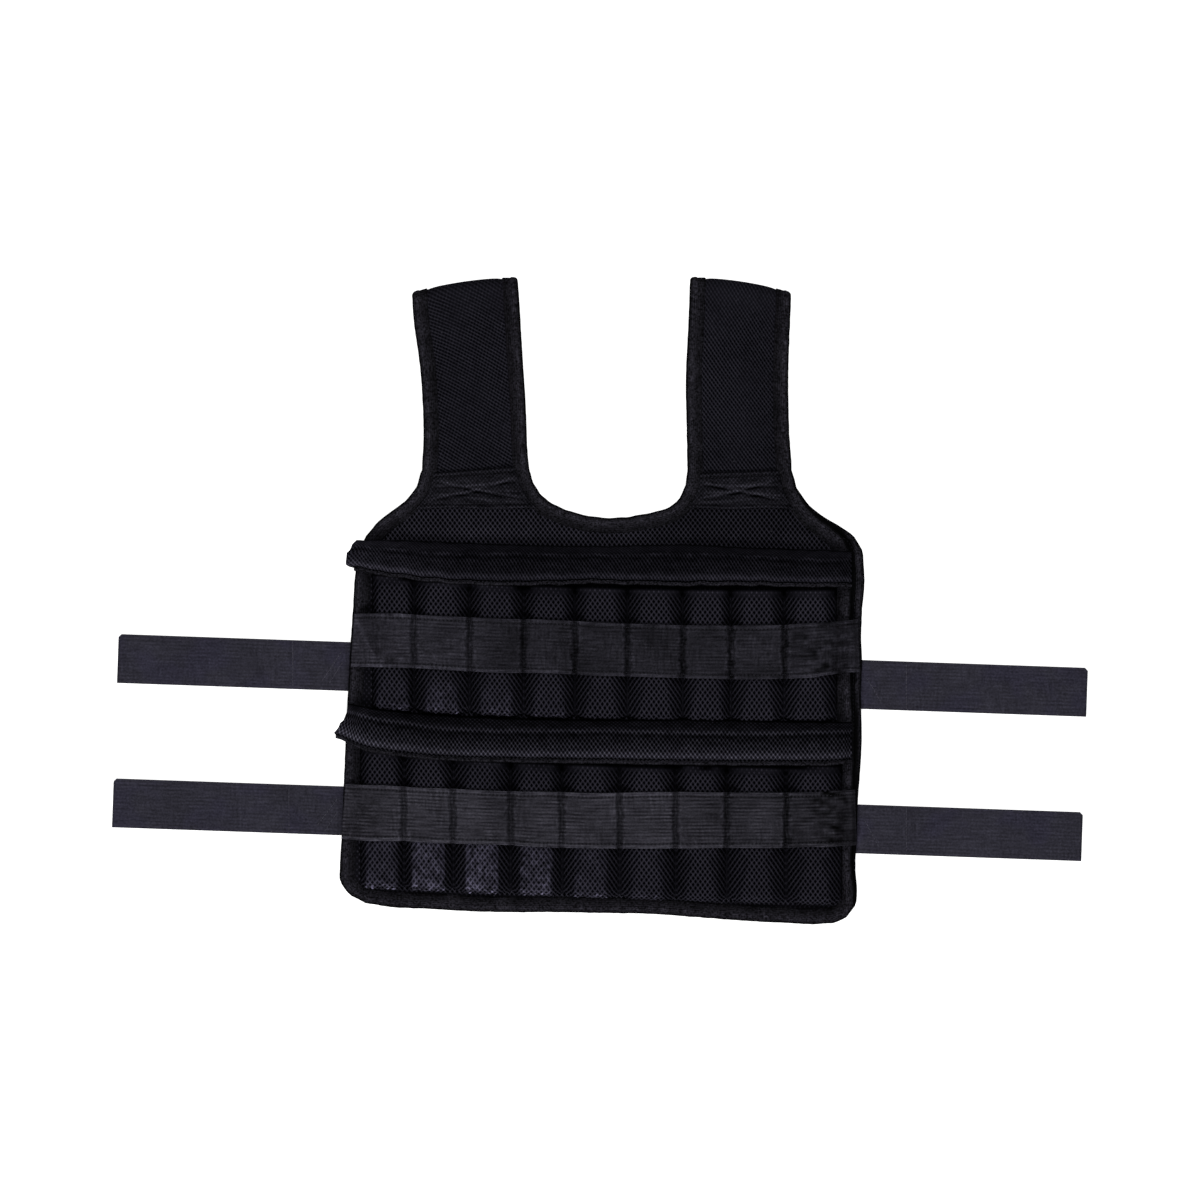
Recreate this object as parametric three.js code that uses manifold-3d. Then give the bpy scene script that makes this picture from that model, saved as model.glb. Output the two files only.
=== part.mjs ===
import * as THREE from 'three';
import { mergeVertices } from 'three/addons/utils/BufferGeometryUtils.js';
import Module from 'manifold-3d';

// A weighted vest that lies on its back, folded at the shoulders, with its side straps spread out.
// Millimetres: X runs across the vest, Y from the hem to the shoulders, Z up from the floor.
// The drawing starts at the middle of the hem, and the finished vest is centred on its own box.

// Gap between pieces that are sewn together, and between pieces that only lie over each other
const gap = 0.3;
const looseGap = 0.6;

// Steel weight bars
const barWidth = 27;
const barLength = 126;
const barThickness = 11;
const barChamfer = 3;

// Pocket cloth, and the room that a bar has in its pocket
const clothWall = 1.2;
const barHeadroom = 0.5; // above the bar
const barFootroom = 6; // from the foot seam of the pocket to the bar
const crownInset = 1; // the cloth lies flat on the bar from here inwards
const footRamp = 7; // length over which the cloth climbs from the foot seam to the bar
const footScallop = 3.5; // how far the foot seam rises between two pockets
const barShow = 4; // length of bar that stands out of the pocket's mouth

// Spare width of each pocket beside its bar, as shares of the row's mean spare width
const upperSpare = 16.3;
const upperShares = [0.5, 1.21, 1.12, 0.99, 1.04, 1.19, 0.8, 1.12, 1.03];
const lowerSpare = 17.9;
const lowerShares = [0.54, 0.8, 1.2, 0.88, 1.2, 1.12, 0.88, 1.28, 1.1];
const upperRowCentre = 3.6;
const lowerRowCentre = 0.8;

// Padded panels
const panelThickness = 8.7;
const rimThickness = 3;
const padRun = 6; // width over which the padding fills out beside the binding
const padStep = 0.75; // share of the fullness that it has right beside the binding
const backShift = { chestLeft: 7, chestRight: 11, hemLeft: 6, hemRight: 2.2, hem: 3 };

// Binding tape folded round every edge
const bindingWidth = 9;
const bindingWall = 1.2;

// Cloth left at the sides of the pocket rows, at the chest, half way down and at the hem
const sideMargin = {
  left: { chest: 14.3, middle: 17.7, hem: 16.8 },
  right: { chest: 11.6, middle: 9.9, hem: 10.6 },
};

// Levels up the middle of the front panel
const hemMargin = 12.6; // hem to the foot of the lower pockets
const lowerFlapRun = 17.5; // top of a lower bar to the seam of its flap
const rowSpacing = 2; // lower flap seam to the foot of the upper pockets
const upperFlapRun = 10.5;
const chestHeight = 24.6; // upper flap seam to the lowest point of the neckline
const armholeDrop = 20; // upper flap seam down to the base of the armhole
const neckDepth = 41; // lowest point of the neckline up to the shoulder strap seam

// How far each line across the vest rises or falls at its two ends
const hemEnds = { left: 6.7, right: -10.9 };
const lowerFootEnds = { left: 8.4, right: -5.9 };
const upperFootEnds = { left: 8.5, right: -1.4 };
const lowerFlapEnds = { left: 3.4, right: -1.6 };
const upperFlapEnds = { left: 4.2, right: -4.2 };

// Corners of the hem
const leftCornerLeg = 38;
const rightCornerLeg = 29;

// Armhole curve: places of its two handles, as shares of its width and its height
const armholeHandles = [
  { out: 0.12, down: 0.44 },
  { out: 1.04, down: 0.51 },
];

// Flaps over the pocket mouths
const flapWall = 2;
const flapDip = 3.5; // between two bars
const flapEndRise = 0.6; // share of its height that a flap keeps beside the last bar
const flapSection = [
  { climb: 0, over: 0, lift: 0 },
  { climb: 0.5, over: 0, lift: 0.8 },
  { climb: 1, over: 0, lift: 1 },
  { climb: 1, over: 0.5, lift: 1 },
  { climb: 1, over: 1, lift: 1 },
]; // from its seam up to the ends of the bars, then over them to its hem
const upperFlapDrop = { left: 22.7, middle: 29.4, right: 25.2 };
const lowerFlapDrop = { left: 21, middle: 31.5, right: 30 };
const upperFlapReach = { left: 7.5, right: 1 }; // past the edge of the front panel
const lowerFlapReach = { left: 6, right: 1 };

// Elastic bands across the pockets
const bandHeight = 43.5;
const bandWall = 1.5;
const bandDip = 8; // between two bars
const bandClear = 1.2; // beside the edge of the front panel, where a band comes down past it
const upperBandRise = { left: 57, middle: 58.5, right: 62 }; // foot of the pockets to its middle
const lowerBandRise = { left: 65, middle: 67.5, right: 71.5 };

// Shoulder straps
const neckCentre = 6;
const neckWidth = 134.5;
const strapWidth = 86.5;
const strapLength = 162; // seam to the top of the fold
const strapPadThickness = 5.2;
const tongueLength = 31.9; // flat end that is sewn over the panel
const tongueThickness = 2.5;
const tongueStep = 7; // seam to where the strap has its full width
const tongueBend = 4.9; // seam to where the tongue has reached the level of the strap
const foldRadius = 7;
const layerSteps = [
  { share: 0.35, settled: 0.5 },
  { share: 0.75, settled: 1 },
]; // way from the seam to the fold, and from the level of the panel to the level of the fold
const foldSlant = 12.6; // the outer corner of the fold lies lower than the inner one
const leftStrapLean = { inner: -8, outer: -10.5 };
const rightStrapLean = { inner: 2.5, outer: 1.5 };

// Side straps: two lengths of webbing that pass under the back panel
const webbingWidth = 40.7;
const webbingThickness = 1.8;
const webbingLength = 814;
const webbingChamfer = 2.5;
const webbingClear = 0.45; // between the webbing and the binding that lies over it
const webbingTurn = THREE.MathUtils.degToRad(-2);
const upperWebbing = { x: 2.1, belowUpperFlap: 107.2 };
const lowerWebbing = { x: -2.1, belowUpperFlap: 228.8 };

// Half thicknesses, and where rims and padding start inside the edge
const padHalf = panelThickness / 2;
const rimHalf = rimThickness / 2;
const grooveHalf = rimHalf + gap;
const bindingHalf = grooveHalf + bindingWall;
const rimInset = bindingWall + gap;
const thinInset = bindingWidth + gap;
const rimColumns = 2; // a strap has this many columns of points from its edge to its padding

// Levels up from the floor
const floorGap = gap / 3;
const backMiddle = padHalf;
const backRim = webbingThickness + webbingClear + bindingHalf;
const frontMiddle = Math.max(2 * padHalf + gap + padHalf, backRim + 2 * bindingHalf + gap);
const seat = frontMiddle + padHalf + gap; // what is sewn on the front panel starts here
const pocketRise = barThickness + barHeadroom;
const crest = seat + clothWall + pocketRise + gap; // flaps and bands lie on the pockets here

// Levels up the vest
const lowerFoot = hemMargin;
const lowerFlapSeam = lowerFoot + barFootroom + barLength + lowerFlapRun;
const upperFoot = lowerFlapSeam + rowSpacing;
const upperFlapSeam = upperFoot + barFootroom + barLength + upperFlapRun;
const armholeBase = upperFlapSeam - armholeDrop;
const strapSeam = upperFlapSeam + chestHeight + neckDepth;
const pocketDepth = barFootroom + barLength - barShow;

// Numbers of steps along the curves
const armholeSteps = 7;
const sideSteps = 4;
const cornerSteps = 4;
const hemSteps = 5;
const neckSteps = 12;
const rampSteps = 3;
const foldSteps = 5;

// Materials: black air mesh, woven tape, webbing and steel
const meshCloth = { color: 0x17161b, roughness: 0.9, metalness: 0 };
const tape = { color: 0x1c1c20, roughness: 0.8, metalness: 0 };
const elastic = { color: 0x28272d, roughness: 0.75, metalness: 0 };
const webbing = { color: 0x2f2e35, roughness: 0.7, metalness: 0 };
const steel = { color: 0x5c5f6a, roughness: 0.4, metalness: 1 };

const wasm = await Module();
wasm.setup();

const mix = THREE.MathUtils.lerp;

// Value of a curve that passes through three values at 0, a half and 1
function through(start, middle, end, t) {
  const bulge = middle - (start + end) / 2;
  return mix(start, end, t) + bulge * 4 * t * (1 - t);
}

// Height of a line across the vest at a share of the way from left to right
function acrossLine(level, ends, t) {
  return through(level + ends.left, level, level + ends.right, t);
}

// Closed geometry from corner points and triangles, with its faces turned outwards
function closedGeometry(points, faces) {
  const volume = faces.reduce((sum, [a, b, c]) => {
    const normal = new THREE.Vector3().crossVectors(points[b], points[c]);
    return sum + points[a].dot(normal);
  }, 0);
  const turned = volume < 0 ? faces.map(([a, b, c]) => [a, c, b]) : faces;
  const geometry = new THREE.BufferGeometry().setFromPoints(points);
  geometry.setIndex(turned.flat());
  geometry.computeVertexNormals();
  return geometry;
}

// Two triangles between four corner points
function quad(a, b, c, d) {
  return [
    [a, b, c],
    [a, c, d],
  ];
}

// A sheet with thickness: two grids of points joined along their borders
function sheetGeometry(outer, inner) {
  const rows = outer.length;
  const columns = outer[0].length;
  const offset = rows * columns;
  const at = (row, column) => row * columns + column;
  const faces = [];
  for (let row = 0; row + 1 < rows; row += 1) {
    for (let column = 0; column + 1 < columns; column += 1) {
      const corners = [at(row, column), at(row, column + 1), at(row + 1, column + 1), at(row + 1, column)];
      faces.push(...quad(...corners));
      faces.push(...quad(...corners.map((corner) => corner + offset).reverse()));
    }
  }
  const border = [];
  for (let column = 0; column + 1 < columns; column += 1) {
    border.push(at(0, column));
  }
  for (let row = 0; row + 1 < rows; row += 1) {
    border.push(at(row, columns - 1));
  }
  for (let column = columns - 1; column > 0; column -= 1) {
    border.push(at(rows - 1, column));
  }
  for (let row = rows - 1; row > 0; row -= 1) {
    border.push(at(row, 0));
  }
  border.forEach((corner, index) => {
    const next = border[(index + 1) % border.length];
    faces.push(...quad(corner, corner + offset, next + offset, next));
  });
  return closedGeometry([...outer.flat(), ...inner.flat()], faces);
}

// A section carried round a closed loop of stations
function loopGeometry(stations) {
  const count = stations[0].length;
  const faces = [];
  stations.forEach((station, index) => {
    const here = index * count;
    const there = ((index + 1) % stations.length) * count;
    for (let corner = 0; corner < count; corner += 1) {
      const next = (corner + 1) % count;
      faces.push(...quad(here + corner, here + next, there + next, there + corner));
    }
  });
  return closedGeometry(stations.flat(), faces);
}

// Rings of equal length stacked from top to bottom and closed by two flat caps
function stackGeometry(rings) {
  const count = rings[0].length;
  const faces = [];
  for (let ring = 0; ring + 1 < rings.length; ring += 1) {
    for (let corner = 0; corner < count; corner += 1) {
      const next = (corner + 1) % count;
      const here = ring * count;
      faces.push(...quad(here + corner, here + count + corner, here + count + next, here + next));
    }
  }
  const flat = (ring) => ring.map((point) => new THREE.Vector2(point.x, point.y));
  const last = (rings.length - 1) * count;
  const topCap = THREE.ShapeUtils.triangulateShape(flat(rings[0]), []);
  const bottomCap = THREE.ShapeUtils.triangulateShape(flat(rings[rings.length - 1]), []);
  faces.push(...topCap);
  faces.push(...bottomCap.map(([a, b, c]) => [a + last, c + last, b + last]));
  return closedGeometry(rings.flat(), faces);
}

// Mesh with a name and a finish
function piece(name, geometry, finish) {
  const mesh = new THREE.Mesh(geometry, new THREE.MeshStandardMaterial(finish));
  mesh.name = name;
  return mesh;
}

// Solid for cutting, from any closed geometry
function toSolid(geometry) {
  const bare = geometry.clone();
  bare.deleteAttribute('normal');
  bare.deleteAttribute('uv');
  const merged = mergeVertices(bare);
  const mesh = new wasm.Mesh({
    numProp: 3,
    vertProperties: new Float32Array(merged.attributes.position.array),
    triVerts: new Uint32Array(merged.index.array),
  });
  return new wasm.Manifold(mesh);
}

function fromSolid(solid) {
  const mesh = solid.getMesh();
  const geometry = new THREE.BufferGeometry();
  geometry.setAttribute('position', new THREE.BufferAttribute(mesh.vertProperties, 3));
  geometry.setIndex(new THREE.BufferAttribute(mesh.triVerts, 1));
  geometry.computeVertexNormals();
  return geometry;
}

// One row of pockets: its seams, and the line of its foot
function makeRow(centre, spare, shares, foot, ends) {
  const widths = shares.map((share) => barWidth + spare * share);
  const total = widths.reduce((sum, width) => sum + width, 0);
  const seams = [centre - total / 2];
  widths.forEach((width) => seams.push(seams[seams.length - 1] + width));
  const left = seams[0];
  const right = seams[seams.length - 1];
  const share = (x) => (x - left) / (right - left);
  const footAt = (x) => acrossLine(foot, ends, THREE.MathUtils.clamp(share(x), 0, 1));
  return { widths, seams, left, right, share, footAt };
}

const upperRow = makeRow(upperRowCentre, upperSpare, upperShares, upperFoot, upperFootEnds);
const lowerRow = makeRow(lowerRowCentre, lowerSpare, lowerShares, lowerFoot, lowerFootEnds);

// The cut of a panel: where its sides and its hem lie
function makeCut(shift) {
  const meanLeft = (upperRow.left + lowerRow.left) / 2;
  const meanRight = (upperRow.right + lowerRow.right) / 2;
  const chestLeft = upperRow.left - sideMargin.left.chest + shift.chestLeft;
  const hemLeft = lowerRow.left - sideMargin.left.hem + shift.hemLeft;
  const middleLeft = meanLeft - sideMargin.left.middle + (shift.chestLeft + shift.hemLeft) / 2;
  const chestRight = upperRow.right + sideMargin.right.chest + shift.chestRight;
  const hemRight = lowerRow.right + sideMargin.right.hem + shift.hemRight;
  const middleRight = meanRight + sideMargin.right.middle + (shift.chestRight + shift.hemRight) / 2;
  const down = (y) => (armholeBase - y) / armholeBase;
  return {
    leftAt: (y) => through(chestLeft, middleLeft, hemLeft, down(y)),
    rightAt: (y) => through(chestRight, middleRight, hemRight, down(y)),
    hemAt: (t) => acrossLine(shift.hem, hemEnds, t),
  };
}

const frontCut = makeCut({ chestLeft: 0, chestRight: 0, hemLeft: 0, hemRight: 0, hem: 0 });
const backCut = makeCut(backShift);

// Points along a curve, without its last one
function sample(curve, steps) {
  return curve.getPoints(steps).slice(0, steps);
}

// Outer edge of a panel, from the left shoulder seam round the hem to the right one
function outerEdge(cut) {
  const strapLeft = neckCentre - neckWidth / 2 - strapWidth;
  const strapRight = neckCentre + neckWidth / 2 + strapWidth;
  const height = strapSeam - armholeBase;
  const armhole = (strapX, sideX) => {
    const run = sideX - strapX;
    const handle = ({ out, down }) => new THREE.Vector2(strapX + run * out, strapSeam - height * down);
    return new THREE.CubicBezierCurve(
      new THREE.Vector2(strapX, strapSeam),
      handle(armholeHandles[0]),
      handle(armholeHandles[1]),
      new THREE.Vector2(sideX, armholeBase),
    );
  };
  const side = (sideAt, low, t) => {
    const y = mix(armholeBase, low, t);
    return new THREE.Vector2(sideAt(y), y);
  };
  const leftLow = cut.hemAt(0) + leftCornerLeg;
  const rightLow = cut.hemAt(1) + rightCornerLeg;
  const leftX = cut.leftAt(cut.hemAt(0));
  const rightX = cut.rightAt(cut.hemAt(1));
  const hemPoint = (x) => new THREE.Vector2(x, cut.hemAt((x - leftX) / (rightX - leftX)));
  const corner = (start, x, end) =>
    sample(new THREE.QuadraticBezierCurve(start, new THREE.Vector2(x, hemPoint(x).y), end), cornerSteps);
  const points = sample(armhole(strapLeft, cut.leftAt(armholeBase)), armholeSteps);
  for (let step = 0; step < sideSteps; step += 1) {
    points.push(side(cut.leftAt, leftLow, step / sideSteps));
  }
  points.push(...corner(side(cut.leftAt, leftLow, 1), leftX, hemPoint(leftX + leftCornerLeg)));
  for (let step = 0; step < hemSteps; step += 1) {
    points.push(hemPoint(mix(leftX + leftCornerLeg, rightX - rightCornerLeg, step / hemSteps)));
  }
  points.push(...corner(hemPoint(rightX - rightCornerLeg), rightX, side(cut.rightAt, rightLow, 1)));
  for (let step = sideSteps; step > 0; step -= 1) {
    points.push(side(cut.rightAt, rightLow, step / sideSteps));
  }
  points.push(...armhole(strapRight, cut.rightAt(armholeBase)).getPoints(armholeSteps).reverse());
  return points;
}

// Points moved into the cloth, square to the edge; the two ends move straight sideways
function insetEdge(points, inset) {
  return points.map((point, index) => {
    const first = index === 0;
    const last = index === points.length - 1;
    if (first || last) {
      return new THREE.Vector2(point.x + (first ? inset : -inset), point.y);
    }
    const along = new THREE.Vector2().subVectors(points[index + 1], points[index - 1]).normalize();
    return new THREE.Vector2(point.x - along.y * inset, point.y + along.x * inset);
  });
}

// Neckline, from the right shoulder seam down and up to the left one
function neckEdge(inset) {
  const points = [];
  for (let step = 0; step <= neckSteps; step += 1) {
    const angle = (Math.PI * step) / neckSteps;
    const x = neckCentre + Math.cos(angle) * (neckWidth / 2 + inset);
    points.push(new THREE.Vector2(x, strapSeam - Math.sin(angle) * (neckDepth + inset)));
  }
  return points;
}

// Outline of a panel at a distance inside its edge, at one level
function panelRing(edge, inset, level) {
  const drop = Math.max(inset - thinInset, 0);
  const lowered = (point, index, list) => {
    const seamPoint = index === 0 || index === list.length - 1;
    return new THREE.Vector3(point.x, point.y - (seamPoint ? drop : 0), level);
  };
  return [...insetEdge(edge, inset).map(lowered), ...neckEdge(inset).map(lowered)];
}

// A padded panel: a thin rim inside the binding, and the padding between its two faces
function panelGeometry(cut, middle, rim) {
  const edge = outerEdge(cut);
  const fullness = [
    { inset: thinInset + padRun, share: 1 },
    { inset: thinInset + gap, share: padStep },
    { inset: thinInset, share: 0 },
    { inset: rimInset, share: 0 },
  ];
  const face = (side) =>
    fullness.map(({ inset, share }) => {
      const level = mix(rim + side * rimHalf, middle + side * padHalf, share);
      return panelRing(edge, inset, level);
    });
  return stackGeometry([...face(1), ...face(-1).reverse()]);
}

// Cutter with upright sides, from the floor up to a level
function cutter(width, length, level) {
  const depth = level + gap;
  const box = new THREE.BoxGeometry(width, length, depth);
  box.translate(0, 0, level - depth / 2);
  return box;
}

const webbingRooms = [upperWebbing, lowerWebbing].map(({ x, belowUpperFlap }) => {
  const room = cutter(webbingLength, webbingWidth + 2 * gap, webbingThickness + gap);
  return room.rotateZ(webbingTurn).translate(x, upperFlapSeam - belowUpperFlap, 0);
});
const tongueHalf = strapWidth / 2 - bindingWidth - gap - looseGap;
const strapMiddles = [-1, 1].map((side) => neckCentre + (side * (neckWidth + strapWidth)) / 2);
const tongueRooms = strapMiddles.map((x) => {
  const room = cutter(2 * (tongueHalf + gap), 2 * (tongueLength + gap), tongueThickness + looseGap);
  return room.translate(x, strapSeam, 0);
});

// The back panel has shallow beds for the webbing and for the ends of the shoulder straps
function backPanelGeometry() {
  const whole = toSolid(panelGeometry(backCut, backMiddle, backRim));
  const rooms = [...webbingRooms, ...tongueRooms];
  return fromSolid(rooms.reduce((solid, room) => solid.subtract(toSolid(room)), whole));
}

// The slope of the cloth from a seam up to the crown of a bar, for the outer or the inner face
function climb(inset, length) {
  const slope = [{ run: 0, lift: 0 }];
  for (let step = 1; step <= rampSteps; step += 1) {
    const share = step / rampSteps;
    slope.push({ run: mix(inset, length, share), lift: Math.sin((Math.PI / 2) * share) });
  }
  return slope;
}

// Columns across a row: where the cloth climbs, lies on the bars and falls to the seams
function rowColumns(row, inset) {
  const columns = [];
  row.widths.forEach((width, index) => {
    const rising = climb(inset, (width - barWidth) / 2 + crownInset);
    const falling = rising.slice(1).reverse();
    columns.push(...rising.map(({ run, lift }) => ({ x: row.seams[index] + run, lift })));
    columns.push(...falling.map(({ run, lift }) => ({ x: row.seams[index + 1] - run, lift })));
  });
  columns.push({ x: row.right, lift: 0 });
  return columns;
}

// A row of pockets: one cloth wall over nine bars, sewn down at the seams and the foot
function pocketGeometry(row) {
  const surface = (inset, level) => {
    const straight = [0.5, 1].map((share) => ({ run: pocketDepth * share, lift: 1 }));
    return [...climb(inset, footRamp), ...straight].map(({ run, lift }) =>
      rowColumns(row, inset).map((column) => {
        const scallop = footScallop * (1 - column.lift) * (1 - run / pocketDepth);
        const y = row.footAt(column.x) + scallop + run;
        return new THREE.Vector3(column.x, y, level + pocketRise * lift * column.lift);
      }),
    );
  };
  return sheetGeometry(surface(0, seat + clothWall), surface(clothWall, seat));
}

// A steel bar with chamfered edges, standing on its foot
function barGeometry() {
  const half = barWidth / 2 - barChamfer;
  const shape = new THREE.Shape();
  shape.moveTo(-half, barChamfer);
  shape.lineTo(half, barChamfer);
  shape.lineTo(half, barLength - barChamfer);
  shape.lineTo(-half, barLength - barChamfer);
  shape.closePath();
  const geometry = new THREE.ExtrudeGeometry(shape, {
    depth: barThickness - 2 * barChamfer,
    bevelSize: barChamfer,
    bevelThickness: barChamfer,
    bevelSegments: 1,
    steps: 1,
  });
  return geometry.translate(0, 0, barChamfer);
}

function barsOf(row, name) {
  return row.widths.map((width, index) => {
    const bar = piece(`${name}_bar_${index + 1}`, barGeometry(), steel);
    const x = row.seams[index] + width / 2;
    bar.position.set(x, row.footAt(x) + barFootroom, seat);
    return bar;
  });
}

// A flap: from its seam it climbs over the ends of the bars and lies on the pockets' mouths
function flapGeometry(row, seamLevel, seamEnds, drop, reach) {
  const within = (x) => THREE.MathUtils.clamp(row.share(x), 0, 1);
  const seamAt = (x) => acrossLine(seamLevel, seamEnds, within(x));
  const dropAt = (x) => through(drop.left, drop.middle, drop.right, within(x));
  const rise = crest - seat;
  const columns = [{ x: frontCut.leftAt(seamAt(row.left)) - reach.left, share: 0 }];
  row.widths.forEach((width, index) => {
    const ramp = (width - barWidth) / 2 + crownInset;
    columns.push({ x: row.seams[index], share: index === 0 ? flapEndRise : 1 - flapDip / rise });
    columns.push({ x: row.seams[index] + ramp, share: 1 });
    columns.push({ x: row.seams[index + 1] - ramp, share: 1 });
  });
  columns.push({ x: row.right, share: flapEndRise });
  columns.push({ x: frontCut.rightAt(seamAt(row.right)) + reach.right, share: 0 });
  const surface = (thickness) =>
    flapSection.map(({ climb: climbed, over, lift }) =>
      columns.map(({ x, share }) => {
        const seam = seamAt(x);
        const barEnd = row.footAt(x) + barFootroom + barLength + flapWall / 2;
        const y = mix(mix(seam, barEnd, climbed), seam - dropAt(x), over);
        return new THREE.Vector3(x, y, seat + rise * lift * share + thickness);
      }),
    );
  return sheetGeometry(surface(flapWall), surface(0));
}

// A band: it crosses the row, dips to each seam, and ends over the edge of the front panel
function bandGeometry(row, rise) {
  const middleAt = (x) => {
    const t = THREE.MathUtils.clamp(row.share(x), 0, 1);
    return row.footAt(x) + through(rise.left, rise.middle, rise.right, t);
  };
  const overBinding = frontMiddle + bindingHalf + looseGap;
  const overBackBinding = backRim + bindingHalf + looseGap;
  // Where the underside of the band runs at half a height below or above its middle
  const crossing = (half) => [
    { x: frontCut.leftAt(middleAt(row.left) + half), z: overBinding },
    ...rowColumns(row, 0).map(({ x, lift }) => ({ x, z: crest - bandDip * (1 - lift) })),
    { x: frontCut.rightAt(middleAt(row.right) + half) + bandClear, z: overBinding },
    { x: backCut.rightAt(middleAt(row.right) + half), z: overBackBinding },
  ];
  const surface = (offset) =>
    [-bandHeight / 2, bandHeight / 2].map((half) => {
      const spots = crossing(half);
      return spots.map(({ x, z }, index) => {
        const before = spots[Math.max(index - 1, 0)];
        const after = spots[Math.min(index + 1, spots.length - 1)];
        const normal = new THREE.Vector2(before.z - after.z, after.x - before.x).normalize();
        return new THREE.Vector3(x + normal.x * offset, middleAt(x) + half, z + normal.y * offset);
      });
    });
  return sheetGeometry(surface(bandWall), surface(0));
}

// Path of a shoulder strap seen from the side: tongue, front layer, fold, back layer, tongue
function strapPath() {
  const backLayer = floorGap + bindingHalf;
  const frontLayer = backLayer + 2 * foldRadius;
  const full = { half: strapPadThickness / 2, tongue: false };
  const thin = { half: tongueThickness / 2, tongue: true };
  // From the end of a tongue to the start of the fold
  const layer = (tongueLevel, panelLevel, foldLevel) => [
    { share: 0, offset: -tongueLength, z: tongueLevel, ...thin },
    { share: 0, offset: looseGap, z: tongueLevel, ...thin },
    { share: 0, offset: tongueBend, z: panelLevel, ...thin },
    { share: 0, offset: tongueStep, z: panelLevel, ...full },
    ...layerSteps.map(({ share, settled }) => ({
      share,
      offset: 0,
      z: mix(panelLevel, foldLevel, settled),
      ...full,
    })),
  ];
  const fold = [];
  for (let step = 0; step <= foldSteps; step += 1) {
    const angle = (Math.PI * step) / foldSteps;
    const offset = foldRadius * (Math.sin(angle) - 1) - strapPadThickness / 2;
    fold.push({ share: 1, offset, z: backLayer + foldRadius * (1 + Math.cos(angle)), ...full });
  }
  const path = [
    ...layer(seat + tongueThickness / 2, frontMiddle, frontLayer),
    ...fold,
    ...layer(floorGap + tongueThickness / 2, backRim, backLayer).reverse(),
  ];
  const spots = path.map(({ share, offset, z }) => new THREE.Vector2(share * strapLength + offset, z));
  return path.map((station, index) => {
    const before = spots[Math.max(index - 1, 0)];
    const after = spots[Math.min(index + 1, spots.length - 1)];
    const along = new THREE.Vector2().subVectors(after, before).normalize();
    return { ...station, normal: new THREE.Vector3(0, -along.y, along.x) };
  });
}

// Where a shoulder strap lies: side is -1 for the left one and 1 for the right one
function makeStrap(side, lean) {
  const innerX = neckCentre + (side * neckWidth) / 2;
  // Point at a distance from the inner edge, and at a height over the middle of the cloth
  const pointAt = (station, distance, height) => {
    const across = distance / strapWidth;
    const length = strapLength - foldSlant * across * across;
    const y = station.share * length + station.offset;
    const up = THREE.MathUtils.clamp(y / strapLength, 0, 1);
    const x = innerX + side * distance + mix(lean.inner, lean.outer, across) * up * up;
    return new THREE.Vector3(x, strapSeam + y, station.z).addScaledVector(station.normal, height);
  };
  return { stations: strapPath(), pointAt };
}

const leftStrap = makeStrap(-1, leftStrapLean);
const rightStrap = makeStrap(1, rightStrapLean);

// A padded strap with thin rims; its two tongues are flat and fit between the bindings
function strapGeometry(strap) {
  const rims = [rimInset, thinInset, thinInset + padRun];
  const full = [...rims, ...rims.map((inset) => strapWidth - inset).reverse()];
  const last = full.length - 1;
  const flat = full.map((_, column) => strapWidth / 2 + tongueHalf * ((2 * column) / last - 1));
  const surface = (face) =>
    strap.stations.map((station) =>
      full.map((distance, column) => {
        const rim = Math.min(column, last - column) < rimColumns;
        const half = rim && !station.tongue ? rimHalf : station.half;
        return strap.pointAt(station, station.tongue ? flat[column] : distance, face * half);
      }),
    );
  return sheetGeometry(surface(1), surface(-1));
}

// Section of the binding: its depth into the cloth, and its height over the middle of the cloth
const bindingSection = [
  { inset: bindingWidth, height: bindingHalf },
  { inset: 0, height: bindingHalf },
  { inset: 0, height: -bindingHalf },
  { inset: bindingWidth, height: -bindingHalf },
  { inset: bindingWidth, height: -grooveHalf },
  { inset: bindingWall, height: -grooveHalf },
  { inset: bindingWall, height: grooveHalf },
  { inset: bindingWidth, height: grooveHalf },
];

// Stations of the binding along the edge of a panel, and along an edge of a strap
function panelStations(edgeAt, level, face) {
  const rails = bindingSection.map(({ inset, height }) =>
    edgeAt(inset).map((point) => new THREE.Vector3(point.x, point.y, level + face * height)),
  );
  return rails[0].map((_, index) => rails.map((rail) => rail[index]));
}

function strapStations(strap, edge) {
  const wrapped = strap.stations.filter((station) => !station.tongue);
  const distance = (inset) => (edge === 'inner' ? inset : strapWidth - inset);
  return wrapped.map((station) =>
    bindingSection.map(({ inset, height }) => strap.pointAt(station, distance(inset), height)),
  );
}

// One length of tape round the outer edge of both panels and both shoulder straps
function edgeBindingGeometry() {
  const edgeOf = (cut) => (inset) => insetEdge(outerEdge(cut), inset);
  return loopGeometry([
    ...panelStations(edgeOf(frontCut), frontMiddle, 1),
    ...strapStations(rightStrap, 'outer'),
    ...panelStations(edgeOf(backCut), backRim, -1).reverse(),
    ...strapStations(leftStrap, 'outer').reverse(),
  ]);
}

// One length of tape round the neckline and the inner edges of the shoulder straps
function neckBindingGeometry() {
  return loopGeometry([
    ...panelStations(neckEdge, frontMiddle, 1).reverse(),
    ...strapStations(rightStrap, 'inner'),
    ...panelStations(neckEdge, backRim, -1),
    ...strapStations(leftStrap, 'inner').reverse(),
  ]);
}

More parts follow.
